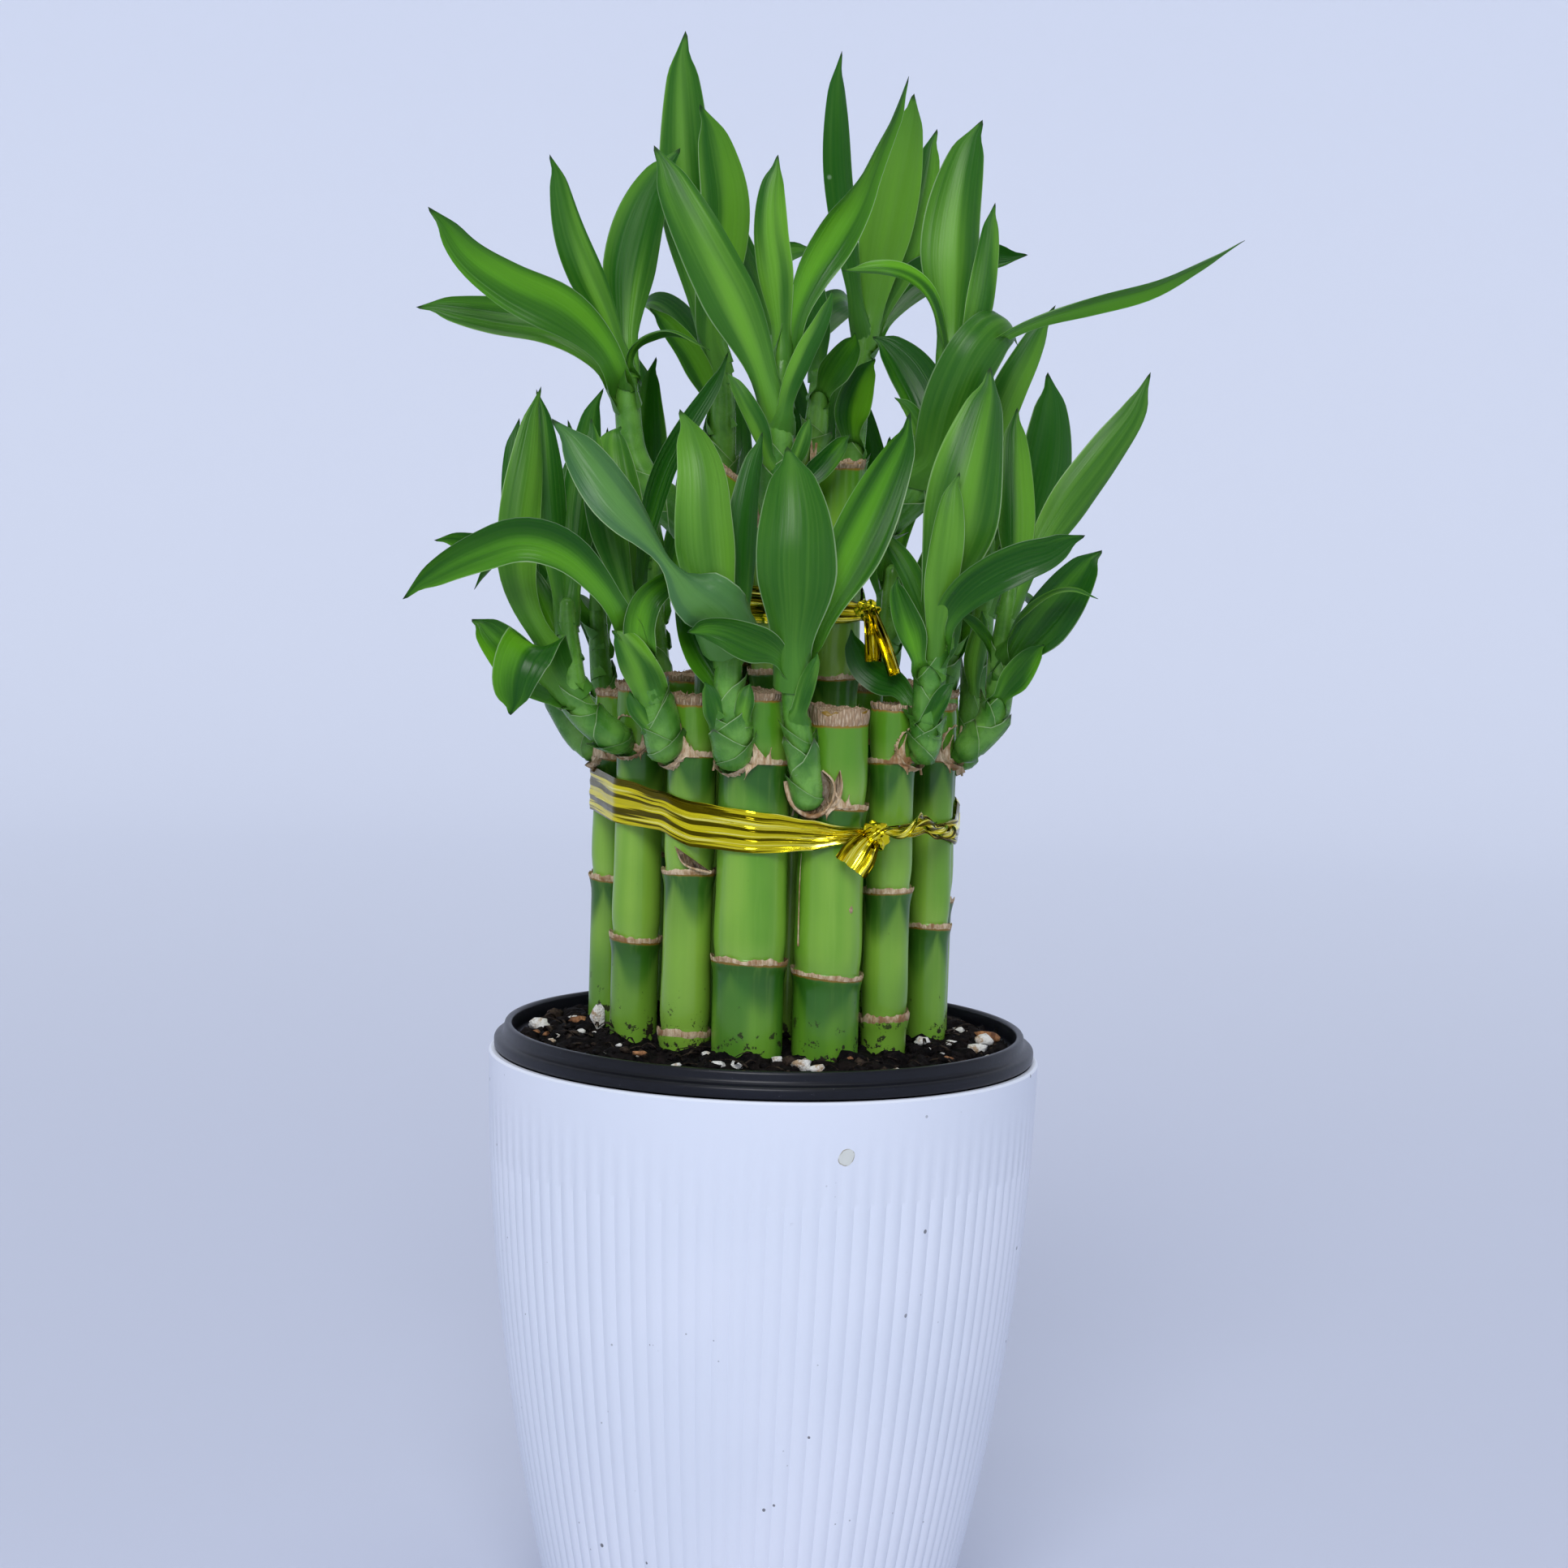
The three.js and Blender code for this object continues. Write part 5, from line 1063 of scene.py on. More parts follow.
def lump(bm, centre, size, slot, seed, detail=2):
    """A rough lump of the given half sizes."""
    verts = bmesh.ops.create_icosphere(bm, subdivisions=detail, radius=1)["verts"]
    shift = Vector((seed * 3.1, seed * 1.7, seed * 2.3))
    for vert in verts:
        rough = 1 + 0.5 * noise.noise(vert.co * 1.3 + shift) + 0.34 * noise.noise(vert.co * 2.9 + shift)
        vert.co = Vector([vert.co[i] * rough * size[i] for i in range(3)]) + centre
    for face in {face for vert in verts for face in vert.link_faces}:
        face.material_index = slot


def fibre(bm, start, ahead, length, width, bend, rise):
    """A loose fibre that lies on the mix and arches up a little."""
    aside = UP.cross(ahead)

    def place(across, along, side):
        half = width * math.sin(math.pi * min(along * 0.9 + 0.1, 1)) * 0.5
        return (start + ahead * (length * along) + aside * (bend * along * along + half * across)
                + UP * (rise * math.sin(math.pi * along) + side * 0.12))

    skin(bm, 2, 5, place, (FIBRE_SLOT, FIBRE_SLOT))


def potting_mix():
    bm = bmesh.new()
    bottom = NURSERY_BASE_Z + NURSERY_WALL + SEAT
    slope = (NURSERY_TOP_RADIUS - NURSERY_BASE_RADIUS) / (POT_HEIGHT - NURSERY_BASE_Z)

    def wall(z):
        return NURSERY_BASE_RADIUS - NURSERY_WALL - 1.5 * SEAT + slope * (z - NURSERY_BASE_Z)

    rim = wall(POT_HEIGHT)
    profile = [(0, bottom), (wall(bottom), bottom), (rim, POT_HEIGHT), (rim, SOIL_EDGE_Z)]
    profile += [(rim * i / MIX_ROWS, SOIL_Z) for i in range(MIX_ROWS - 1, -1, -1)]
    turned(bm, profile, MIX_STEPS)
    for vert in bm.verts:
        if vert.co.z > SOIL_EDGE_Z - 1:
            vert.co.z = SOIL_Z + mix_height(vert.co.x, vert.co.y)
    for i, (x, y, size) in enumerate(PERLITE_BITS):
        lump(bm, on_mix(x, y, size * 0.3), (size * 1.15, size * 0.8, size * 0.75), PERLITE_SLOT, i)
    lump(bm, on_mix(*UPRIGHT_CHIP), (1.9, 1.2, 4.2), PERLITE_SLOT, 45)
    for i, (x, y, size) in enumerate(BARK_BITS):
        lump(bm, on_mix(x, y, size * 0.3), (size * 1.3, size * 0.8, size * 0.5), BARK_SLOT, 50 + i)
    rng = random.Random(11)
    for i in range(SMALL_BITS):
        x, y = scattered(rng, BITS_REACH)
        if clear_of_canes(x, y, 2):
            size = rng.uniform(0.5, 1.5)
            slot = rng.choice([PERLITE_SLOT, BARK_SLOT, MIX_SLOT, MIX_SLOT])
            lump(bm, on_mix(x, y, size * 0.2), (size * 1.2, size, size * 0.7), slot, 100 + i, 1)
    for i in range(CRUMBS):
        x, y = scattered(rng, CRUMBS_REACH)
        size = rng.choice(CRUMB_SIZES)
        if clear_of_canes(x, y, -0.2):
            slot = FIBRE_SLOT if rng.random() < 0.22 else MIX_SLOT
            shape = (size, size * rng.uniform(0.5, 0.9), size * rng.uniform(0.5, 0.8))
            lump(bm, on_mix(x, y, 0.2), shape, slot, 300 + i, 1)
    for i in range(CLODS):
        x, y = scattered(rng, CLODS_REACH)
        size = rng.uniform(2.4, 4.2)
        if clear_of_canes(x, y, 0.5):
            shape = (size, size * rng.uniform(0.5, 0.9), size * rng.uniform(0.5, 0.7))
            lump(bm, on_mix(x, y, -0.4), shape, MIX_SLOT, 2000 + i)
    for _ in range(FIBRES):
        x, y = scattered(rng, FIBRES_REACH)
        ahead = polar(rng.uniform(0, math.tau), 1)
        length, width = rng.uniform(3, 11), rng.choice(FIBRE_WIDTHS)
        bend, rise = rng.uniform(-2.5, 2.5), rng.uniform(0.3, 2)
        start = on_mix(x, y, 0.5)
        end = start + ahead * length
        if clear_of_canes(end.x, end.y, 1) and math.hypot(end.x, end.y) <= FIBRE_ENDS_REACH:
            fibre(bm, start, ahead, length, width, bend, rise)
    add_piece(bm, "crumbly_potting_mix", [POTTING_MIX, FIBRE, PERLITE, BARK], "soil")


# Canes

CANE_STEPS = 48
# Heights of the steps above and below a node ring
RING_STEPS = (-5, -3.4, -2.2, -1.3, -0.7, -0.2, 0.15, 0.5, 1.1, 2, 3.2)
RING_LEAN = 0.0875
RING_HEIGHT = 1.75
LOW_RING_HEIGHT = 2.6
HUSK_COLUMNS = 4
HUSK_RING_STEPS = 120
HUSK_CUP_STEPS = 90
HUSK_CUP_RADIUS = 5.4
# What under_ring and over_ring say where there is no ring
FAR = 60
FRAYED_FIBRES = 34
STRAND_STEPS = 24
# Points of husk beside a shoot: how far they rise, directions in degrees from the shoot at their
# foot and at their tip, and width
HUSK_POINTS = ((8, 50, 36, 4.8), (4.5, 62, 60, 3.6), (-3.6, 36, 32, 3.4))
# Extra rings close to the potting mix
LOW_RINGS = {"outer_cane_3": [174.7], "outer_cane_6": [179.5]}
# How pale each cane at the front is, from 0 to 1
CANE_TONES = {"outer_cane_1": 0.3, "outer_cane_2": 0.5, "outer_cane_3": 0.95, "outer_cane_4": 0,
  "outer_cane_5": 0.05, "outer_cane_6": 0.55, "outer_cane_7": 0.4}
# Loose dry strands: the cane, the points as read from the front, and the width
STRANDS = [
  ["outer_cane_3", [[-16, 54.9, -39.4], [-20.2, 55.6, -39.9], [-24, 57.3, -39.8],
    [-26.3, 61.9, -40.4]], 0.9],
  ["outer_cane_5", [[8.7, 35, -41.8], [8.6, 44, -42], [8.6, 53, -42.2], [8.8, 61, -42.2]], 0.45],
  ["outer_cane_5", [[4.3, 81, -45.4], [4.7, 77.6, -46], [6.8, 73.6, -46.6], [11.2, 71.4, -47],
    [15.7, 73.6, -47], [17.5, 78.6, -47.3], [16.6, 82, -47.5], [13.9, 84.4, -47.6]], 1.7],
  ["outer_cane_5", [[15, 73.4, -46.4], [18.4, 76, -47], [19.5, 80, -47.4], [18.8, 84.5, -47.4]],
    1.1],
]
SCARRED_CANE = "outer_cane_5"
SCAR = [22.7, 45.7, -43.2]
# How far the dry fringe reaches down from the cut, where it is deeper than on the others
FRINGES = {"outer_cane_5": 3.8}


def ring_swell(z, marks):
    """How far a cane stands out at a height because of its node rings."""
    size = 0
    for off in (z - ring for ring in marks):
        if off <= 0:
            size += NODE_SWELL * hill(off, 2.6)
        else:
            size += 0.6 * hill(off, 0.25) - 0.35 * hill(off - 1.2, 2.4)
        size += 0.25 * hill(off - 9, 7)
    return size


def cane_profile(radius, top, bottom, marks):
    steps = {bottom + 20 * i for i in range(3)} | {SOIL_Z - 3 + 2.4 * i for i in range(90)}
    steps |= {ring + off for ring in marks for off in RING_STEPS}
    heights = sorted(z for z in steps if z < top - 0.8)
    heights = [z for z, after in zip(heights, heights[1:] + [top + 9]) if after - z > 0.2]
    profile = [(0, bottom)] + [(radius + ring_swell(z, marks), z) for z in heights]
    profile += [(radius - 0.05, top - 0.5), (radius - 0.4, top)]
    return profile + [(radius * share / 10, top - 0.1) for share in range(9, -1, -1)]


def map_cane(bm, radius, top, flat):
    """Turns round the cane and metres up it, and the slot of the cut top."""
    for face in bm.faces:
        centre = face.calc_center_median()
        inner = centre.z > top - 1 and math.hypot(centre.x, centre.y) < radius - 0.3
        face.material_index = CUT_SLOT if inner else CANE_SLOT
        angles = [math.atan2(loop.vert.co.y, loop.vert.co.x) for loop in face.loops]
        wraps = max(angles) - min(angles) > math.pi
        for loop, angle in zip(face.loops, angles):
            turn = angle / math.tau + (1 if wraps and angle < 0 else 0)
            loop[flat].uv = (turn, loop.vert.co.z * MM)


def cane(name, cx, cy, radius, top, rings):
    rng = random.Random(name)
    tone = CANE_TONES.get(name, rng.random())
    fringe = FRINGES.get(name, rng.uniform(0.8, 1.6))
    lean = rng.uniform(0, math.tau)
    tilt = RING_LEAN * radius
    slope = SLANT if name == SLANTED_CANE else 0
    marks = sorted(rings + LOW_RINGS.get(name, []))
    axis = Vector((cx, cy, 0))
    bm = bmesh.new()
    turned(bm, cane_profile(radius, top, SOIL_Z - CANE_DEPTH + SEAT, marks), CANE_STEPS)
    named = layers(bm)
    map_cane(bm, radius, top, named["map"])
    for vert in bm.verts:
        x, y, z = vert.co
        angle = math.atan2(y, x)
        vert[named["under_ring"]] = min([ring - z for ring in rings if ring >= z - 0.05], default=FAR)
        vert[named["over_ring"]] = min([z - ring for ring in marks if ring < z - 0.05], default=FAR)
        vert[named["from_top"]] = top - fringe - z
        vert[named["tone"]] = tone
        if math.hypot(x, y) > 0.1:
            scale = 1 + 0.018 * noise.noise(polar(angle, 1, z * 0.03 + tone * 50))
            vert.co.x *= scale
            vert.co.y *= scale
        vert.co.z += tilt * math.sin(angle + lean) * max(hill(z - ring, 6) for ring in marks)
        if z > top - 1:
            x, y, _ = vert.co
            rough = noise.noise(Vector((x * 0.7, y * 0.7, tone * 30)))
            rough += 0.7 * noise.noise(Vector((x * 2.1, y * 2.1, tone * 30)))
            vert.co.z += 0.7 * rough
        vert.co.z += slope * vert.co.x * smooth_step(z, top - 12, top)
    for ring in marks:
        tall = RING_HEIGHT if ring in rings else LOW_RING_HEIGHT
        husk_ring(bm, radius + NODE_SWELL * 0.75, ring - 0.8, tall, tilt, lean, rng.random() * 50,
                  HUSK_SLOT)
    husk_ring(bm, radius - 0.05, top - fringe, fringe + 0.5, slope * radius, math.pi / 2,
              rng.random() * 50, CUT_SLOT)
    frayed_edge(bm, radius, top, slope, rng)
    way, foot = shoot_foot(name, cx, cy, rings[-1])
    husk_points(bm, radius, rings[-1], way, rng)
    husk_cup(bm, radius, foot + 0.3, way, rng.random() * 50)
    for owner, points, width in STRANDS:
        if owner == name:
            husk_strand(bm, [seen(point) - axis for point in points], width)
    if name == SCARRED_CANE:
        lump(bm, seen(SCAR) - axis, (0.9, 0.45, 1.2), CUT_SLOT, 1)
    bmesh.ops.translate(bm, vec=axis, verts=bm.verts)
    add_piece(bm, name.replace("cane", "bamboo_cane"), CANE_FINISHES, name, crease=60)


def husk_ring(bm, radius, low, tall, tilt, lean, shift, slot):
    """A dry, ragged band round the cane: what an old leaf leaves, or the fringe of a cut top."""
    def edge(across, along, side):
        angle = along * math.tau
        wave = noise.noise(polar(angle, 2.2, shift))
        rag = noise.noise(polar(angle, 11, shift))
        level = across * 0.5 + 0.5
        up = low + tilt * math.sin(angle + lean)
        up += 0.35 * rag * (1 - level) + level * (tall * (1 + 0.55 * wave) + 0.5 * rag)
        return polar(angle, radius + 0.35 * level + 0.2 * rag + side * 0.16 * bulge(across), up)

    skin(bm, HUSK_COLUMNS, HUSK_RING_STEPS, edge, (slot, slot), close=False)


def frayed_edge(bm, radius, top, slope, rng):
    """Short frayed fibres that stand up round the edge of the cut."""
    for _ in range(FRAYED_FIBRES):
        angle = rng.uniform(0, math.tau)
        foot = polar(angle, radius * rng.uniform(0.82, 1))
        foot.z = top - 0.4 + slope * foot.x
        lean = Vector((rng.uniform(-0.5, 0.5), rng.uniform(-0.5, 0.5), rng.uniform(0.7, 1.6)))
        aside = UP.cross(polar(angle, 1)) * rng.uniform(0.1, 0.2)

        def hair(across, along, side):
            thin = Vector((0, side * 0.05, 0))
            return foot + lean * along + aside * (across * (1 - 0.8 * along)) + thin

        skin(bm, 1, 2, hair, (CUT_SLOT, CUT_SLOT))


def shoot_foot(name, cx, cy, ring):
    """The direction in which the shoot leaves its cane, and how high its foot is."""
    for _, owner, stem, _ in FRONT_SHOOTS:
        if owner == name:
            foot = seen(stem[0])
            return math.atan2(foot.y - cy, foot.x - cx), seen(stem[1]).z
    return next((math.radians(way), ring + 2 * size) for _, owner, size, way in BACK_SHOOTS
                if owner == name)


def husk_cup(bm, radius, height, way, shift):
    """The torn rim that a shoot breaks out of, round its foot on the side of the cane."""
    def place(across, along, side):
        turn = math.tau * along
        low = 0.5 - 0.5 * math.sin(turn)
        rag = noise.noise(polar(turn, 3.5, shift))
        fine = noise.noise(polar(turn, 12, shift))
        level = across * 0.5 + 0.5
        grow = HUSK_CUP_RADIUS + 0.4 * rag + level * (0.4 + 0.7 * low + 0.7 * fine)
        out = radius + 0.35 + 2.4 * (1 - level) * low + 0.3 * rag + side * 0.16 * bulge(across)
        return polar(way + grow * math.cos(turn) / radius, out, height + grow * math.sin(turn))

    skin(bm, HUSK_COLUMNS, HUSK_CUP_STEPS, place, (HUSK_SLOT, HUSK_SLOT), close=False)


def husk_strand(bm, points, width):
    """A dry strand that has come loose from a ring and curls away."""
    def shape(across, along, side):
        half = width / 2 * (1 - 0.75 * along) * (1 + 0.4 * noise.noise(Vector((along * 9, width, 0))))
        return half * across, 0.35 * width * (1 - across * across) + side * 0.1, 0

    strip(bm, points, 3, STRAND_STEPS, shape, HUSK_SLOT)


def husk_points(bm, radius, ring, way, rng):
    """Torn points of dry husk at the foot of a shoot, up along its flanks and down the cane."""
    for side in (-1, 1):
        for rise, start, end, width in HUSK_POINTS:
            rise *= rng.uniform(0.8, 1.15)
            first = way + side * math.radians(start + rng.uniform(-4, 4))
            last = way + side * math.radians(end + rng.uniform(-6, 6))

            def place(across, along, face_side):
                half = width / 2 * (1 - along) ** 2
                out = radius + NODE_SWELL + 0.5 + 0.7 * along + 0.25 * math.sin(across * 3)
                out += face_side * 0.12 * bulge(across)
                up = ring + rise * along + 0.3 * noise.noise(Vector((across * 2, along * 4, first)))
                return polar(blend(first, last, along) + across * half / radius, out, up)

            skin(bm, 3, 8, place, (HUSK_SLOT, HUSK_SLOT))


# Shoots

STEM_SIDES = 24
STEM_STEPS = 40
STEM_SLIM = 0.9
SLIMMER = {"outer_shoot_5": 0.86, "outer_shoot_7": 0.92}
BLADE_COLUMNS = 10
BLADE_ROWS = 32
BLADE_STEPS = 64
BLADE_CURVE = 0.44
BLADE_WAVES = 9
MIDRIB_FOLD = 0.16
LEAF_THICK = 0.5
# How far the foot of a leaf wraps round the stem, in radians, and where it has come free
WRAP = 2.5
SHEATH_END = 0.2
TWIST_AT = 0.4
BRACTS = 3
BRACT_COLUMNS = 16
BRACT_ROWS = 8
# Longer sheaths on the stems at the front: where each starts and how far it reaches, as shares
# of the stem, and the side that its point is on, in degrees to the right
LONG_SHEATHS = {
  "outer_shoot_1": [[0.28, 0.3, 80]],
  "outer_shoot_2": [[0.27, 0.3, -70]],
  "outer_shoot_3": [[0.24, 0.3, 100], [0.4, 0.4, -80]],
  "outer_shoot_4": [[0.26, 0.2, -95], [0.36, 0.34, 85]],
  "outer_shoot_5": [[0.2, 0.26, 110], [0.36, 0.2, -80]],
  "outer_shoot_6": [[0.28, 0.4, -90], [0.46, 0.42, 95]],
  "outer_shoot_7": [[0.26, 0.28, 90], [0.4, 0.36, -80]],
}
# How green each leaf at the front is, in the order of its shoot's leaves: deep, mid, pale,
# bright, or greyish
SHADES = {
  "outer_shoot_1": "dmmd", "outer_shoot_2": "mmpddm", "outer_shoot_3": "mmdmdmm",
  "outer_shoot_4": "pgmddm", "outer_shoot_5": "mmmm", "outer_shoot_6": "mmmpdmdm",
  "outer_shoot_7": "mdmdpd", "outer_shoot_8": "mddd",
  "inner_shoot_1": "pmdmp", "inner_shoot_2": "mmmmmmd", "inner_shoot_3": "mmmpmmd",
  "inner_shoot_4": "dbddd", "inner_shoot_5": "dddd", "inner_shoot_6": "mddd",
}
OTHER_SHADES = "dmdmd"
SHADE_TONES = {"d": 0.18, "m": 0.46, "p": 0.7, "b": 0.9, "g": 1.24}


def stem_rings(points, slim):
    """Centres, directions and radii along a stem."""
    knots = [Vector(point[:3]) for point in points]
    places, forward = smooth_path(knots, STEM_STEPS)
    lengths = running_lengths(knots)
    radii = []
    for i in range(STEM_STEPS + 1):
        low, part = step_at(lengths, i / STEM_STEPS)
        radii.append(slim * blend(points[low][3], points[low + 1][3], smooth_step(part, 0, 1)))
    return places, forward, radii


def stem_tube(bm, axis, outward, tone):
    places, forward, radii = axis
    faces = carried(forward, outward)

    def place(angle, along):
        i = round(along * STEM_STEPS)
        size = radii[i] * (0.4 if i == STEM_STEPS else 1)
        across = forward[i].cross(faces[i])
        return places[i] + faces[i] * (size * math.cos(angle)) + across * (size * math.sin(angle))

    tube(bm, STEM_SIDES, STEM_STEPS, place, STEM_SLOT, tone=tone)


def nearest(axis, point):
    places, _, radii = axis
    i = min(range(len(places)), key=lambda k: (places[k] - point).length)
    return places[i], radii[i]


def leaf_outline(part, neck):
    """The width of a leaf along its length: a neck, the widest place and a beak at the tip."""
    if part > LEAF_WIDEST:
        q = (part - LEAF_WIDEST) / (1 - LEAF_WIDEST)
        beak = 1 - 0.4 * smooth_step(part, 0.87, 0.96)
        return (1 - q) ** 0.72 * (1 + 0.72 * q) * beak
    return neck + (1 - neck) * smooth_step(part, 0.12, LEAF_WIDEST)


def blade(bm, row, outward, axis, tone, rng):
    width, turns, side, points = row[:4]
    neck = (row[4] if len(row) > 4 else LEAF_NECK) + 0.06
    pinch = row[5] if len(row) > 5 else 0
    places, forward = smooth_path(points, BLADE_STEPS)
    faces = carried(forward, outward)
    root, root_radius = nearest(axis, places[0])
    wave, phase = rng.uniform(0.05, 0.13), rng.uniform(0, 6.3)
    lop, hook = rng.uniform(-0.14, 0.14), rng.choice((-1, 1)) * rng.uniform(0.05, 0.12) * width
    fold = MIDRIB_FOLD * rng.uniform(0.3, 1.2)

    def place(across, even, face_side):
        along = 1 - (1 - even) ** 1.2
        face, way = between(faces, along), between(forward, along)
        over = way.cross(face)
        turn = math.radians(between(turns, along))
        out = face * math.cos(turn) + over * math.sin(turn)
        aside = over * math.cos(turn) - face * math.sin(turn)
        hug = 1 - smooth_step(along, 0, SHEATH_END)
        half = width / 2 * leaf_outline(along, neck) * (1 + lop * across * (1 - hug))
        half *= 1 + 0.05 * math.sin(BLADE_WAVES * along + 2 * phase + across) * (1 - hug)
        half *= 1 - pinch * hill(along - TWIST_AT, 0.09)
        half = blend(half, max(half, root_radius + 0.45), hug)
        curve = BLADE_CURVE + (WRAP - BLADE_CURVE) * hug
        centre = between(places, along) + (root - places[0]) * (1 - smooth_step(along, 0, 0.14))
        centre += aside * (hook * smooth_step(along, 0.88, 1) ** 2)
        size = half / math.sin(min(curve, math.pi / 2))
        angle = across * curve
        level = math.sin(curve) / curve
        under = aside * math.sin(angle) + out * (-side * math.cos(angle))
        middle = 1 - across ** 2
        flutter = half * wave * (1 - middle) * math.sin(BLADE_WAVES * along + phase + 1.5 * across)
        flutter += 0.022 * half * math.sin(across * 4.6 + phase) * middle
        flutter += side * fold * half * (math.sqrt(across ** 2 + 0.01) - 0.5)
        flutter *= smooth_step(along, 0.2, 0.5)
        thick = LEAF_THICK / 2 * bulge(across) * (1 - 0.7 * along)
        point = centre + aside * (size * math.sin(angle))
        point += out * (-side * size * (math.cos(angle) - level) + flutter)
        return point - under * (thick * face_side)

    skin(bm, BLADE_COLUMNS, BLADE_ROWS, place, (UPPER_SLOT, UNDER_SLOT), tone=tone, veins=width * 2.6)


def bract(bm, axis, outward, start, height, tip, rng):
    """A short sheath round the foot of a shoot, cut aslant up to a small point at one side."""
    places, forward, radii = axis
    faces = carried(forward, outward)
    low_side = rng.uniform(0.1, 0.24)

    def place(across, along, face_side):
        rag = 0.12 * noise.noise(Vector((across * 3, start * 30, tip)))
        slant = (0.5 + 0.5 * math.cos(math.pi * across)) ** 1.15
        reach = height * (low_side + rag + (0.85 - low_side) * slant)
        reach += height * 0.2 * max(1 - 6 * abs(across), 0)
        at = min((start + reach * along) * STEM_STEPS, STEM_STEPS - 0.01)
        low = int(at)
        part = at - low
        face, over = faces[low], forward[low].cross(faces[low])
        turn = tip + across * math.pi * 1.05
        peak = max(1 - 2.4 * abs(across), 0) * along ** 3
        size = blend(radii[low], radii[low + 1], part) + 0.12 + 0.4 * along ** 2 + 1.3 * peak
        size += 0.08 * across - face_side * 0.16 * bulge(across) * (1 - along ** 4)
        if along < 0.01:
            size = radii[low] * 0.9
        centre = places[low].lerp(places[low + 1], part)
        return centre + face * (size * math.cos(turn)) + over * (size * math.sin(turn))

    skin(bm, BRACT_COLUMNS, BRACT_ROWS, place, (BRACT_SLOT, BRACT_SLOT), tone=rng.random(), veins=1)


def shoot(name, stem, leaves, outward):
    rng = random.Random(name)
    bm = bmesh.new()
    axis = stem_rings(stem, STEM_SLIM * SLIMMER.get(name, 1))
    stem_tube(bm, axis, outward, rng.random())
    for row, shade in zip(leaves, SHADES.get(name, OTHER_SHADES)):
        blade(bm, row, outward, axis, SHADE_TONES[shade] + rng.uniform(-0.09, 0.09), rng)
    side = rng.choice((-1, 1))
    for i in range(BRACTS):
        tip = side * math.pi * rng.uniform(0.24, 0.56)
        bract(bm, axis, outward, 0.02 + rng.uniform(0.06, 0.09) * i, rng.uniform(0.2, 0.33), tip, rng)
        side = -side
    for start, reach, tip in LONG_SHEATHS.get(name, [[0.28, 0.3, 90 * side]]):
        bract(bm, axis, outward, start, reach, math.radians(tip), rng)
    add_piece(bm, name.replace("shoot", "leafy_shoot"), SHOOT_FINISHES, name, crease=50)


def front_shoot(name, _, stem, leaves):
    placed = [leaf[:3] + [[seen(point) for point in leaf[3]]] + leaf[4:] for leaf in leaves]
    shoot(name, [[*seen(point), point[3]] for point in stem], placed, TOWARDS_FRONT)


def back_shoot(name, cane_name, size, direction):
    _, x, y, radius, _, rings = next(row for row in CANES if row[0] == cane_name)
    outward = polar(math.radians(direction), 1)
    sideways = UP.cross(outward)

    def place(point):
        out, aside, up = point[:3]
        base = Vector((x, y, rings[-1] + size * up))
        return base + outward * (radius - 5 + size * out) + sideways * (size * aside)

    stem = [[*place(point), size * point[3]] for point in BACK_STEM]
    leaves = [[size * width, turns, UNDER, [place(point) for point in points]]
              for width, turns, points in BACK_LEAVES]
    shoot(name, stem, leaves, outward)


# Ribbons

OUTLINE_STEPS = 1440
BAND_COLUMNS = 24
BAND_STEPS = 420
TAIL_COLUMNS = 14
TAIL_STEPS = 30
ROPE_COLUMNS = 10
ROPE_STEPS = 90
# The outer ribbon's twisted end: its points as read from the front, radius and turns
ROPE_END = [[[27, 66.5, -46], [31, 68.2, -45], [35.5, 67.6, -43], [39, 69.5, -40],
  [42, 71.5, -37], [45, 69.5, -31], [48.5, 68.3, -22], [50.5, 68.2, -12]], 1.8, 2.6]


def bundle_outline(canes, margin):
    """Points round the bundle with their outward directions, and how far round each one is."""
    rough = []
    for i in range(OUTLINE_STEPS):
        way = polar(math.tau * i / OUTLINE_STEPS, 1)
        _, x, y, radius, _, _ = max(canes, key=lambda row: row[1] * way.x + row[2] * way.y + row[3])
        rough.append((Vector((x, y, 0)) + way * (radius + NODE_SWELL * 0.4 + margin), way))
    rough.append(rough[0])
    return rough, running_lengths([point for point, _ in rough])


def outline_at(outline, part):
    rough, lengths = outline
    low, share = step_at(lengths, part % 1)
    (first, way), (second, next_way) = rough[low], rough[low + 1]
    return first.lerp(second, share), way.lerp(next_way, share).normalized()


def edge_heights(table, point):
    angle = math.degrees(math.atan2(point.y - RIBBON_CENTRE[1], point.x - RIBBON_CENTRE[0]))
    for (start, low, high), (end, next_low, next_high) in zip(table, table[1:]):
        if angle <= end:
            part = smooth_step(angle, start, end)
            return blend(low, next_low, part), blend(high, next_high, part)
    return table[-1][1:]


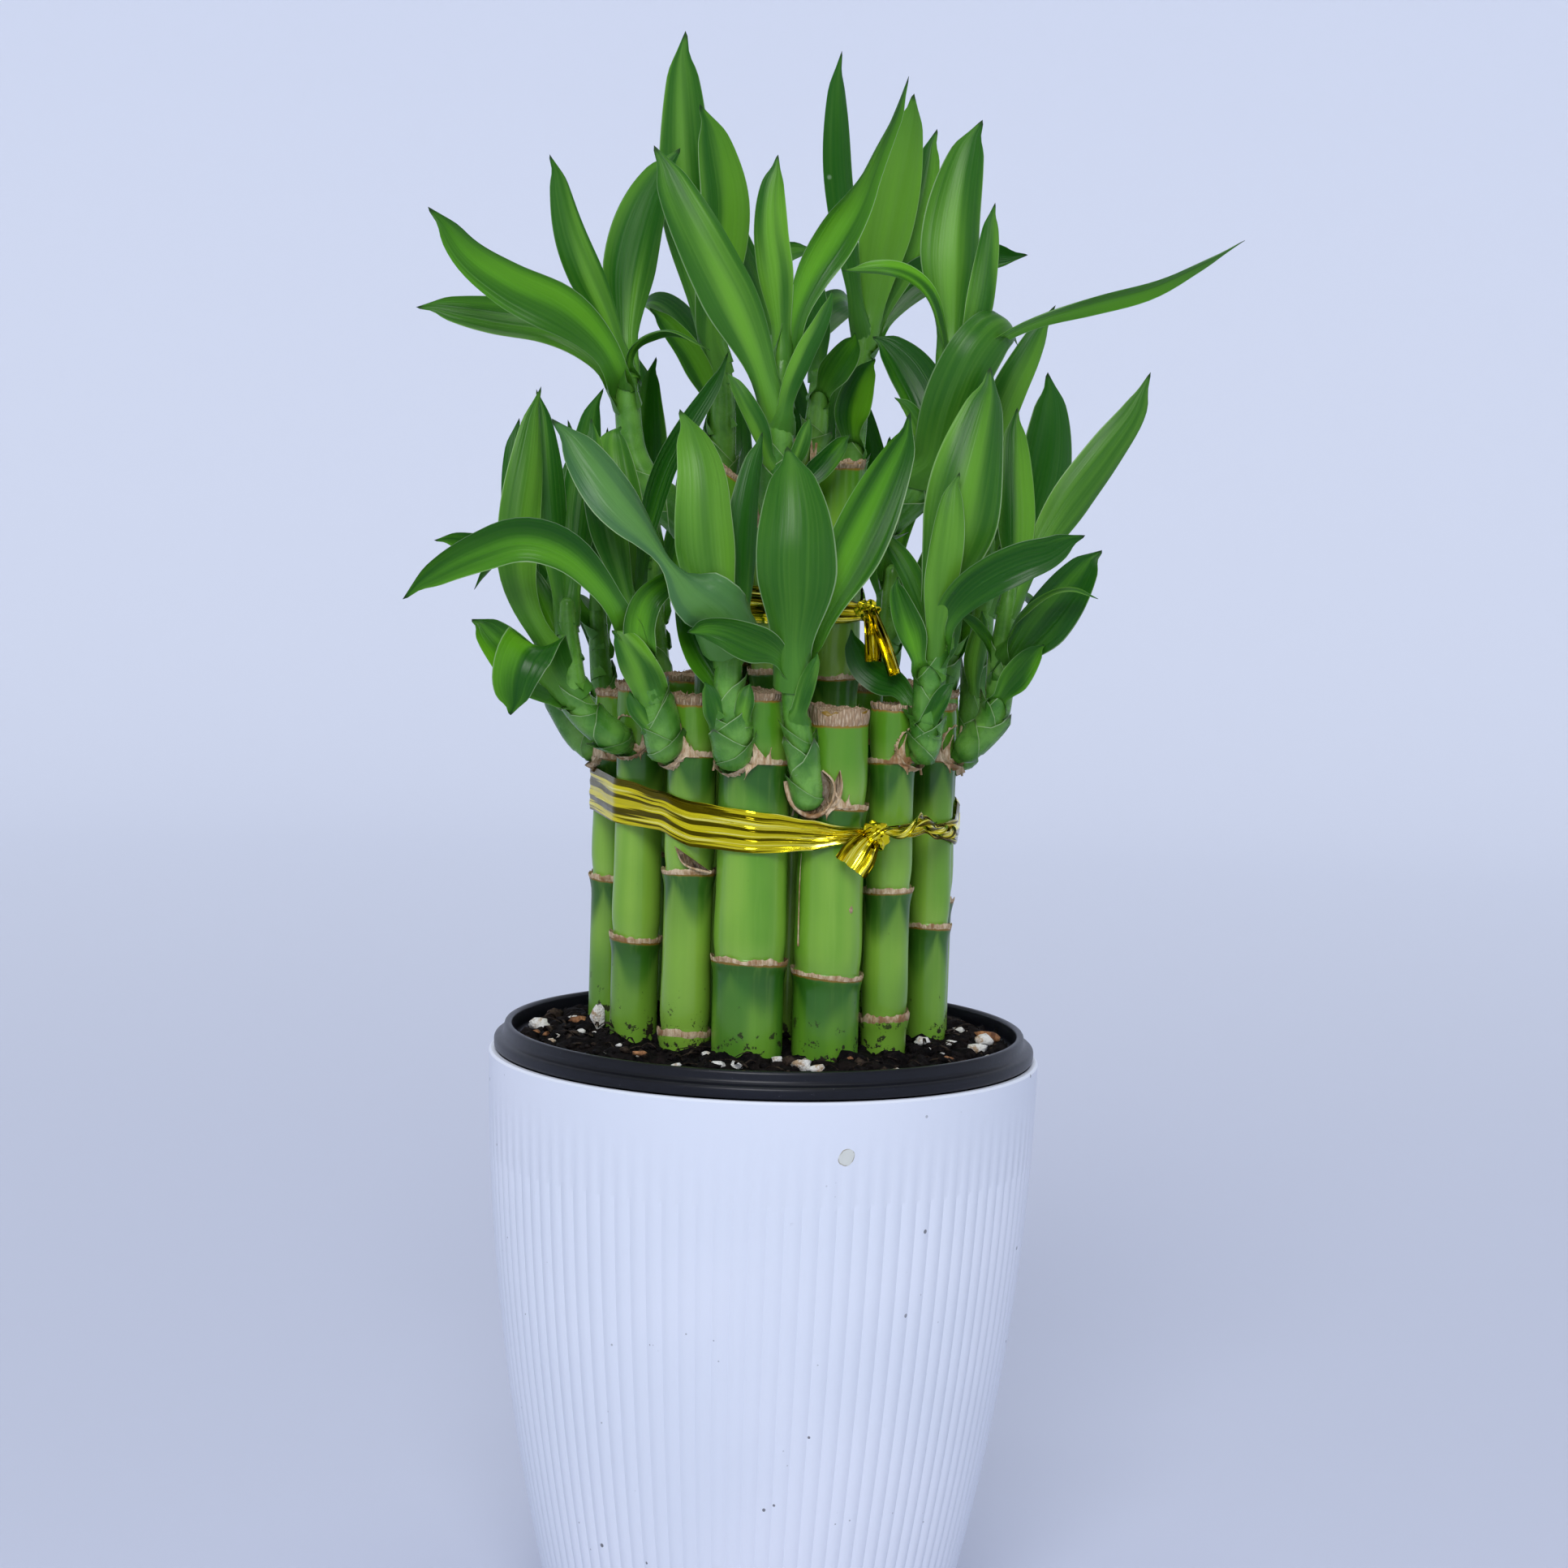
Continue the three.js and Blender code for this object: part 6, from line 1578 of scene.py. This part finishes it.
def foil_band(bm, canes, table, full_width, seed):
    outline = bundle_outline(canes, SEAT + 0.45)
    around = outline[1][-1]

    def place(across, along, side):
        point, way = outline_at(outline, along)
        low, high = edge_heights(table, point)
        gather = 1 - min((high - low) / full_width, 1)
        level = across * 0.5 + 0.5
        far = along * around
        drift = noise.noise(Vector((far * 0.02, seed, 0))) * 0.6
        crease = noise.noise(Vector((level * 2.4 + drift, far * 0.03, seed)))
        fine = noise.noise(Vector((level * 11 + drift * 2, far * 0.05, seed + 9)))
        folds = level * 4 + drift * 2
        pleat = 2 * abs(folds - round(folds)) - 0.5
        out = (0.7 * pleat + 0.5 * crease + 0.1 * fine) * (0.45 + 1.3 * gather)
        out += gather * 1.2 * math.cos((level - 0.5) * math.pi) - side * 0.14
        rag = 0.25 * noise.noise(Vector((far * 0.11, level * 2, seed + 4)))
        return point + way * out + UP * (blend(low, high, level) + rag)

    verts = skin(bm, BAND_COLUMNS, BAND_STEPS, place, (0, 0), close=False, veins=around * 0.014)
    # marks the band's left side for painted darker reflections
    shaded = layers(bm)["tone"]
    for vert in verts:
        vert[shaded] = smooth_step(-vert.co.x, 6, 22)


def foil_knot(bm, centre, radius, seed):
    size = Vector((radius, radius * 0.62, radius * 0.9))
    for vert in bmesh.ops.create_icosphere(bm, subdivisions=4, radius=1)["verts"]:
        way = vert.co.copy()
        pleat = math.sin(6 * math.atan2(way.z, way.x) + 4 * way.y + seed)
        rough = 1 + 0.14 * pleat + 0.3 * noise.noise(way * 1.7 + Vector((seed, 0, 0)))
        vert.co = centre + way * size * rough


def foil_tail(bm, width, neck, points, seed):
    def shape(across, along, side):
        half = width / 2 * blend(neck, 1, smooth_step(along, 0, 0.75))
        folds = across * 1.5 + seed * 0.3
        pleat = (2 * abs(folds - round(folds)) - 0.5) * 1.6 * (1 - 0.3 * along)
        pleat += 0.4 * noise.noise(Vector((across * 2, along * 2, seed)))
        ahead = 0.5 * noise.noise(Vector((across * 4, seed, 0))) * along
        return half * across, pleat + side * 0.12, ahead

    strip(bm, [seen(point) for point in points], TAIL_COLUMNS, TAIL_STEPS, shape, 0, veins=0.5)


def foil_rope(bm, points, radius, turns, seed):
    """The ribbon's free end, twisted into a rope."""
    def shape(across, along, side):
        spin = turns * math.tau * along
        half = across * radius * (1 + 0.3 * noise.noise(Vector((along * 9, seed, 0))))
        fold = 0.5 * math.sin(across * 5) + side * 0.25 * bulge(across)
        return (half * math.cos(spin) - fold * math.sin(spin),
                half * math.sin(spin) + fold * math.cos(spin), 0)

    strip(bm, [seen(point) for point in points], ROPE_COLUMNS, ROPE_STEPS, shape, 0, veins=3)


def ribbon(name, node, canes, table, full_width, knot, tails, ropes, seed):
    """The foil round a bundle with its knot, tails and twisted ends, as one piece."""
    bm = bmesh.new()
    foil_band(bm, canes, table, full_width, seed)
    foil_knot(bm, seen(knot), knot[3], seed)
    for i, tail in enumerate(tails):
        foil_tail(bm, *tail, seed + i)
    for rope in ropes:
        foil_rope(bm, *rope, seed)
    add_piece(bm, name, [GOLD], node, crease=24)


# Stage

# The floor is shaded as level out to LEVEL_RADIUS
LEVEL_RADIUS = 1500
FLOOR_RADIUS = 1700
WALL_RADIUS = 2300
WALL_HEIGHT = 1300
BEND_STEPS = 12
STAGE_STEPS = 96
# The photo's frame and the camera that fits it, with lengths in the photo's pixels
PHOTO_WIDTH = 1932
PHOTO_REACH = 5376
SENSOR_WIDTH = 36
PITCH = 6.55
ROLL = 1.78
LIGHT_AIM = Vector((0, 0, 0.3))
LIGHT_TINT = (0.97, 0.98, 1.0)
SKY_TINT = (0.82, 0.87, 1.0, 1)
SKY_STRENGTH = 0.5


def stage():
    """A pale studio bowl: a floor that curves up into a wall all round."""
    bm = bmesh.new()
    bend = WALL_RADIUS - FLOOR_RADIUS
    profile = [(0, 0), (LEVEL_RADIUS, 0), (FLOOR_RADIUS, 0)]
    for i in range(1, BEND_STEPS + 1):
        angle = math.pi / 2 * i / BEND_STEPS
        profile.append((FLOOR_RADIUS + bend * math.sin(angle), bend * (1 - math.cos(angle))))
    profile.append((WALL_RADIUS, WALL_HEIGHT))
    turned(bm, profile, STAGE_STEPS)
    bmesh.ops.reverse_faces(bm, faces=bm.faces)
    finish = Finish("studio_paper", Roughness=0.9, IOR=1.3)
    # painted shade and light: the paper is darker near the middle and paler out towards the wall
    away = finish.length(finish.place())
    finish.paint(away.rise(0.2, 2.1), colour(232, 236, 246), colour(198, 203, 219))
    finish.feed("Base Color", finish.body)
    finished(bm, "studio_floor", [finish.material])


def soft_light(name, place, size, power):
    light = bpy.data.lights.new(name, "AREA")
    light.shape = "DISK"
    light.size = size
    light.energy = power
    light.color = LIGHT_TINT
    lamp = bpy.data.objects.new(name, light)
    lamp.location = place
    lamp.rotation_euler = (LIGHT_AIM - Vector(place)).to_track_quat("-Z", "Y").to_euler()
    bpy.context.scene.collection.objects.link(lamp)


def sky():
    world = bpy.data.worlds.new("studio")
    world.use_nodes = True
    background = world.node_tree.nodes["Background"]
    background.inputs["Color"].default_value = SKY_TINT
    background.inputs["Strength"].default_value = SKY_STRENGTH
    bpy.context.scene.world = world
    bpy.context.scene.view_settings.view_transform = "Standard"


def camera():
    pitch, roll = math.radians(PITCH), math.radians(ROLL)
    forward = Vector((0, math.cos(pitch), -math.sin(pitch)))
    right = Vector((1, 0, 0))
    up = right.cross(forward)
    leaning_right = right * math.cos(roll) + up * math.sin(roll)
    leaning_up = up * math.cos(roll) - right * math.sin(roll)
    data = bpy.data.cameras.new("camera")
    data.sensor_width = SENSOR_WIDTH
    data.lens = SENSOR_WIDTH * PHOTO_REACH / PHOTO_WIDTH
    data.clip_end = 50
    view = bpy.data.objects.new("camera", data)
    turn = Matrix((leaning_right, leaning_up, -forward)).transposed()
    view.matrix_world = Matrix.Translation(EYE * MM) @ turn.to_4x4()
    bpy.context.scene.collection.objects.link(view)
    bpy.context.scene.camera = view


camera()
stage()
sky()
soft_light("front_light", (-0.2, -2.5, 2.0), 1.3, 50)
soft_light("top_light", (0, 0.3, 2.6), 1.6, 14)

cover_pot()
nursery_pot()
potting_mix()
for cane_row in CANES:
    cane(*cane_row)
for shoot_row in FRONT_SHOOTS:
    front_shoot(*shoot_row)
for shoot_row in BACK_SHOOTS:
    back_shoot(*shoot_row)
ribbon("gold_outer_ribbon", "outer_ribbon", OUTER_CANES, OUTER_RIBBON, 12, OUTER_KNOT, OUTER_TAILS,
       [ROPE_END], 3)
ribbon("gold_inner_ribbon", "inner_ribbon", INNER_CANES, INNER_RIBBON, 10, INNER_KNOT, INNER_TAILS,
       [], 7)
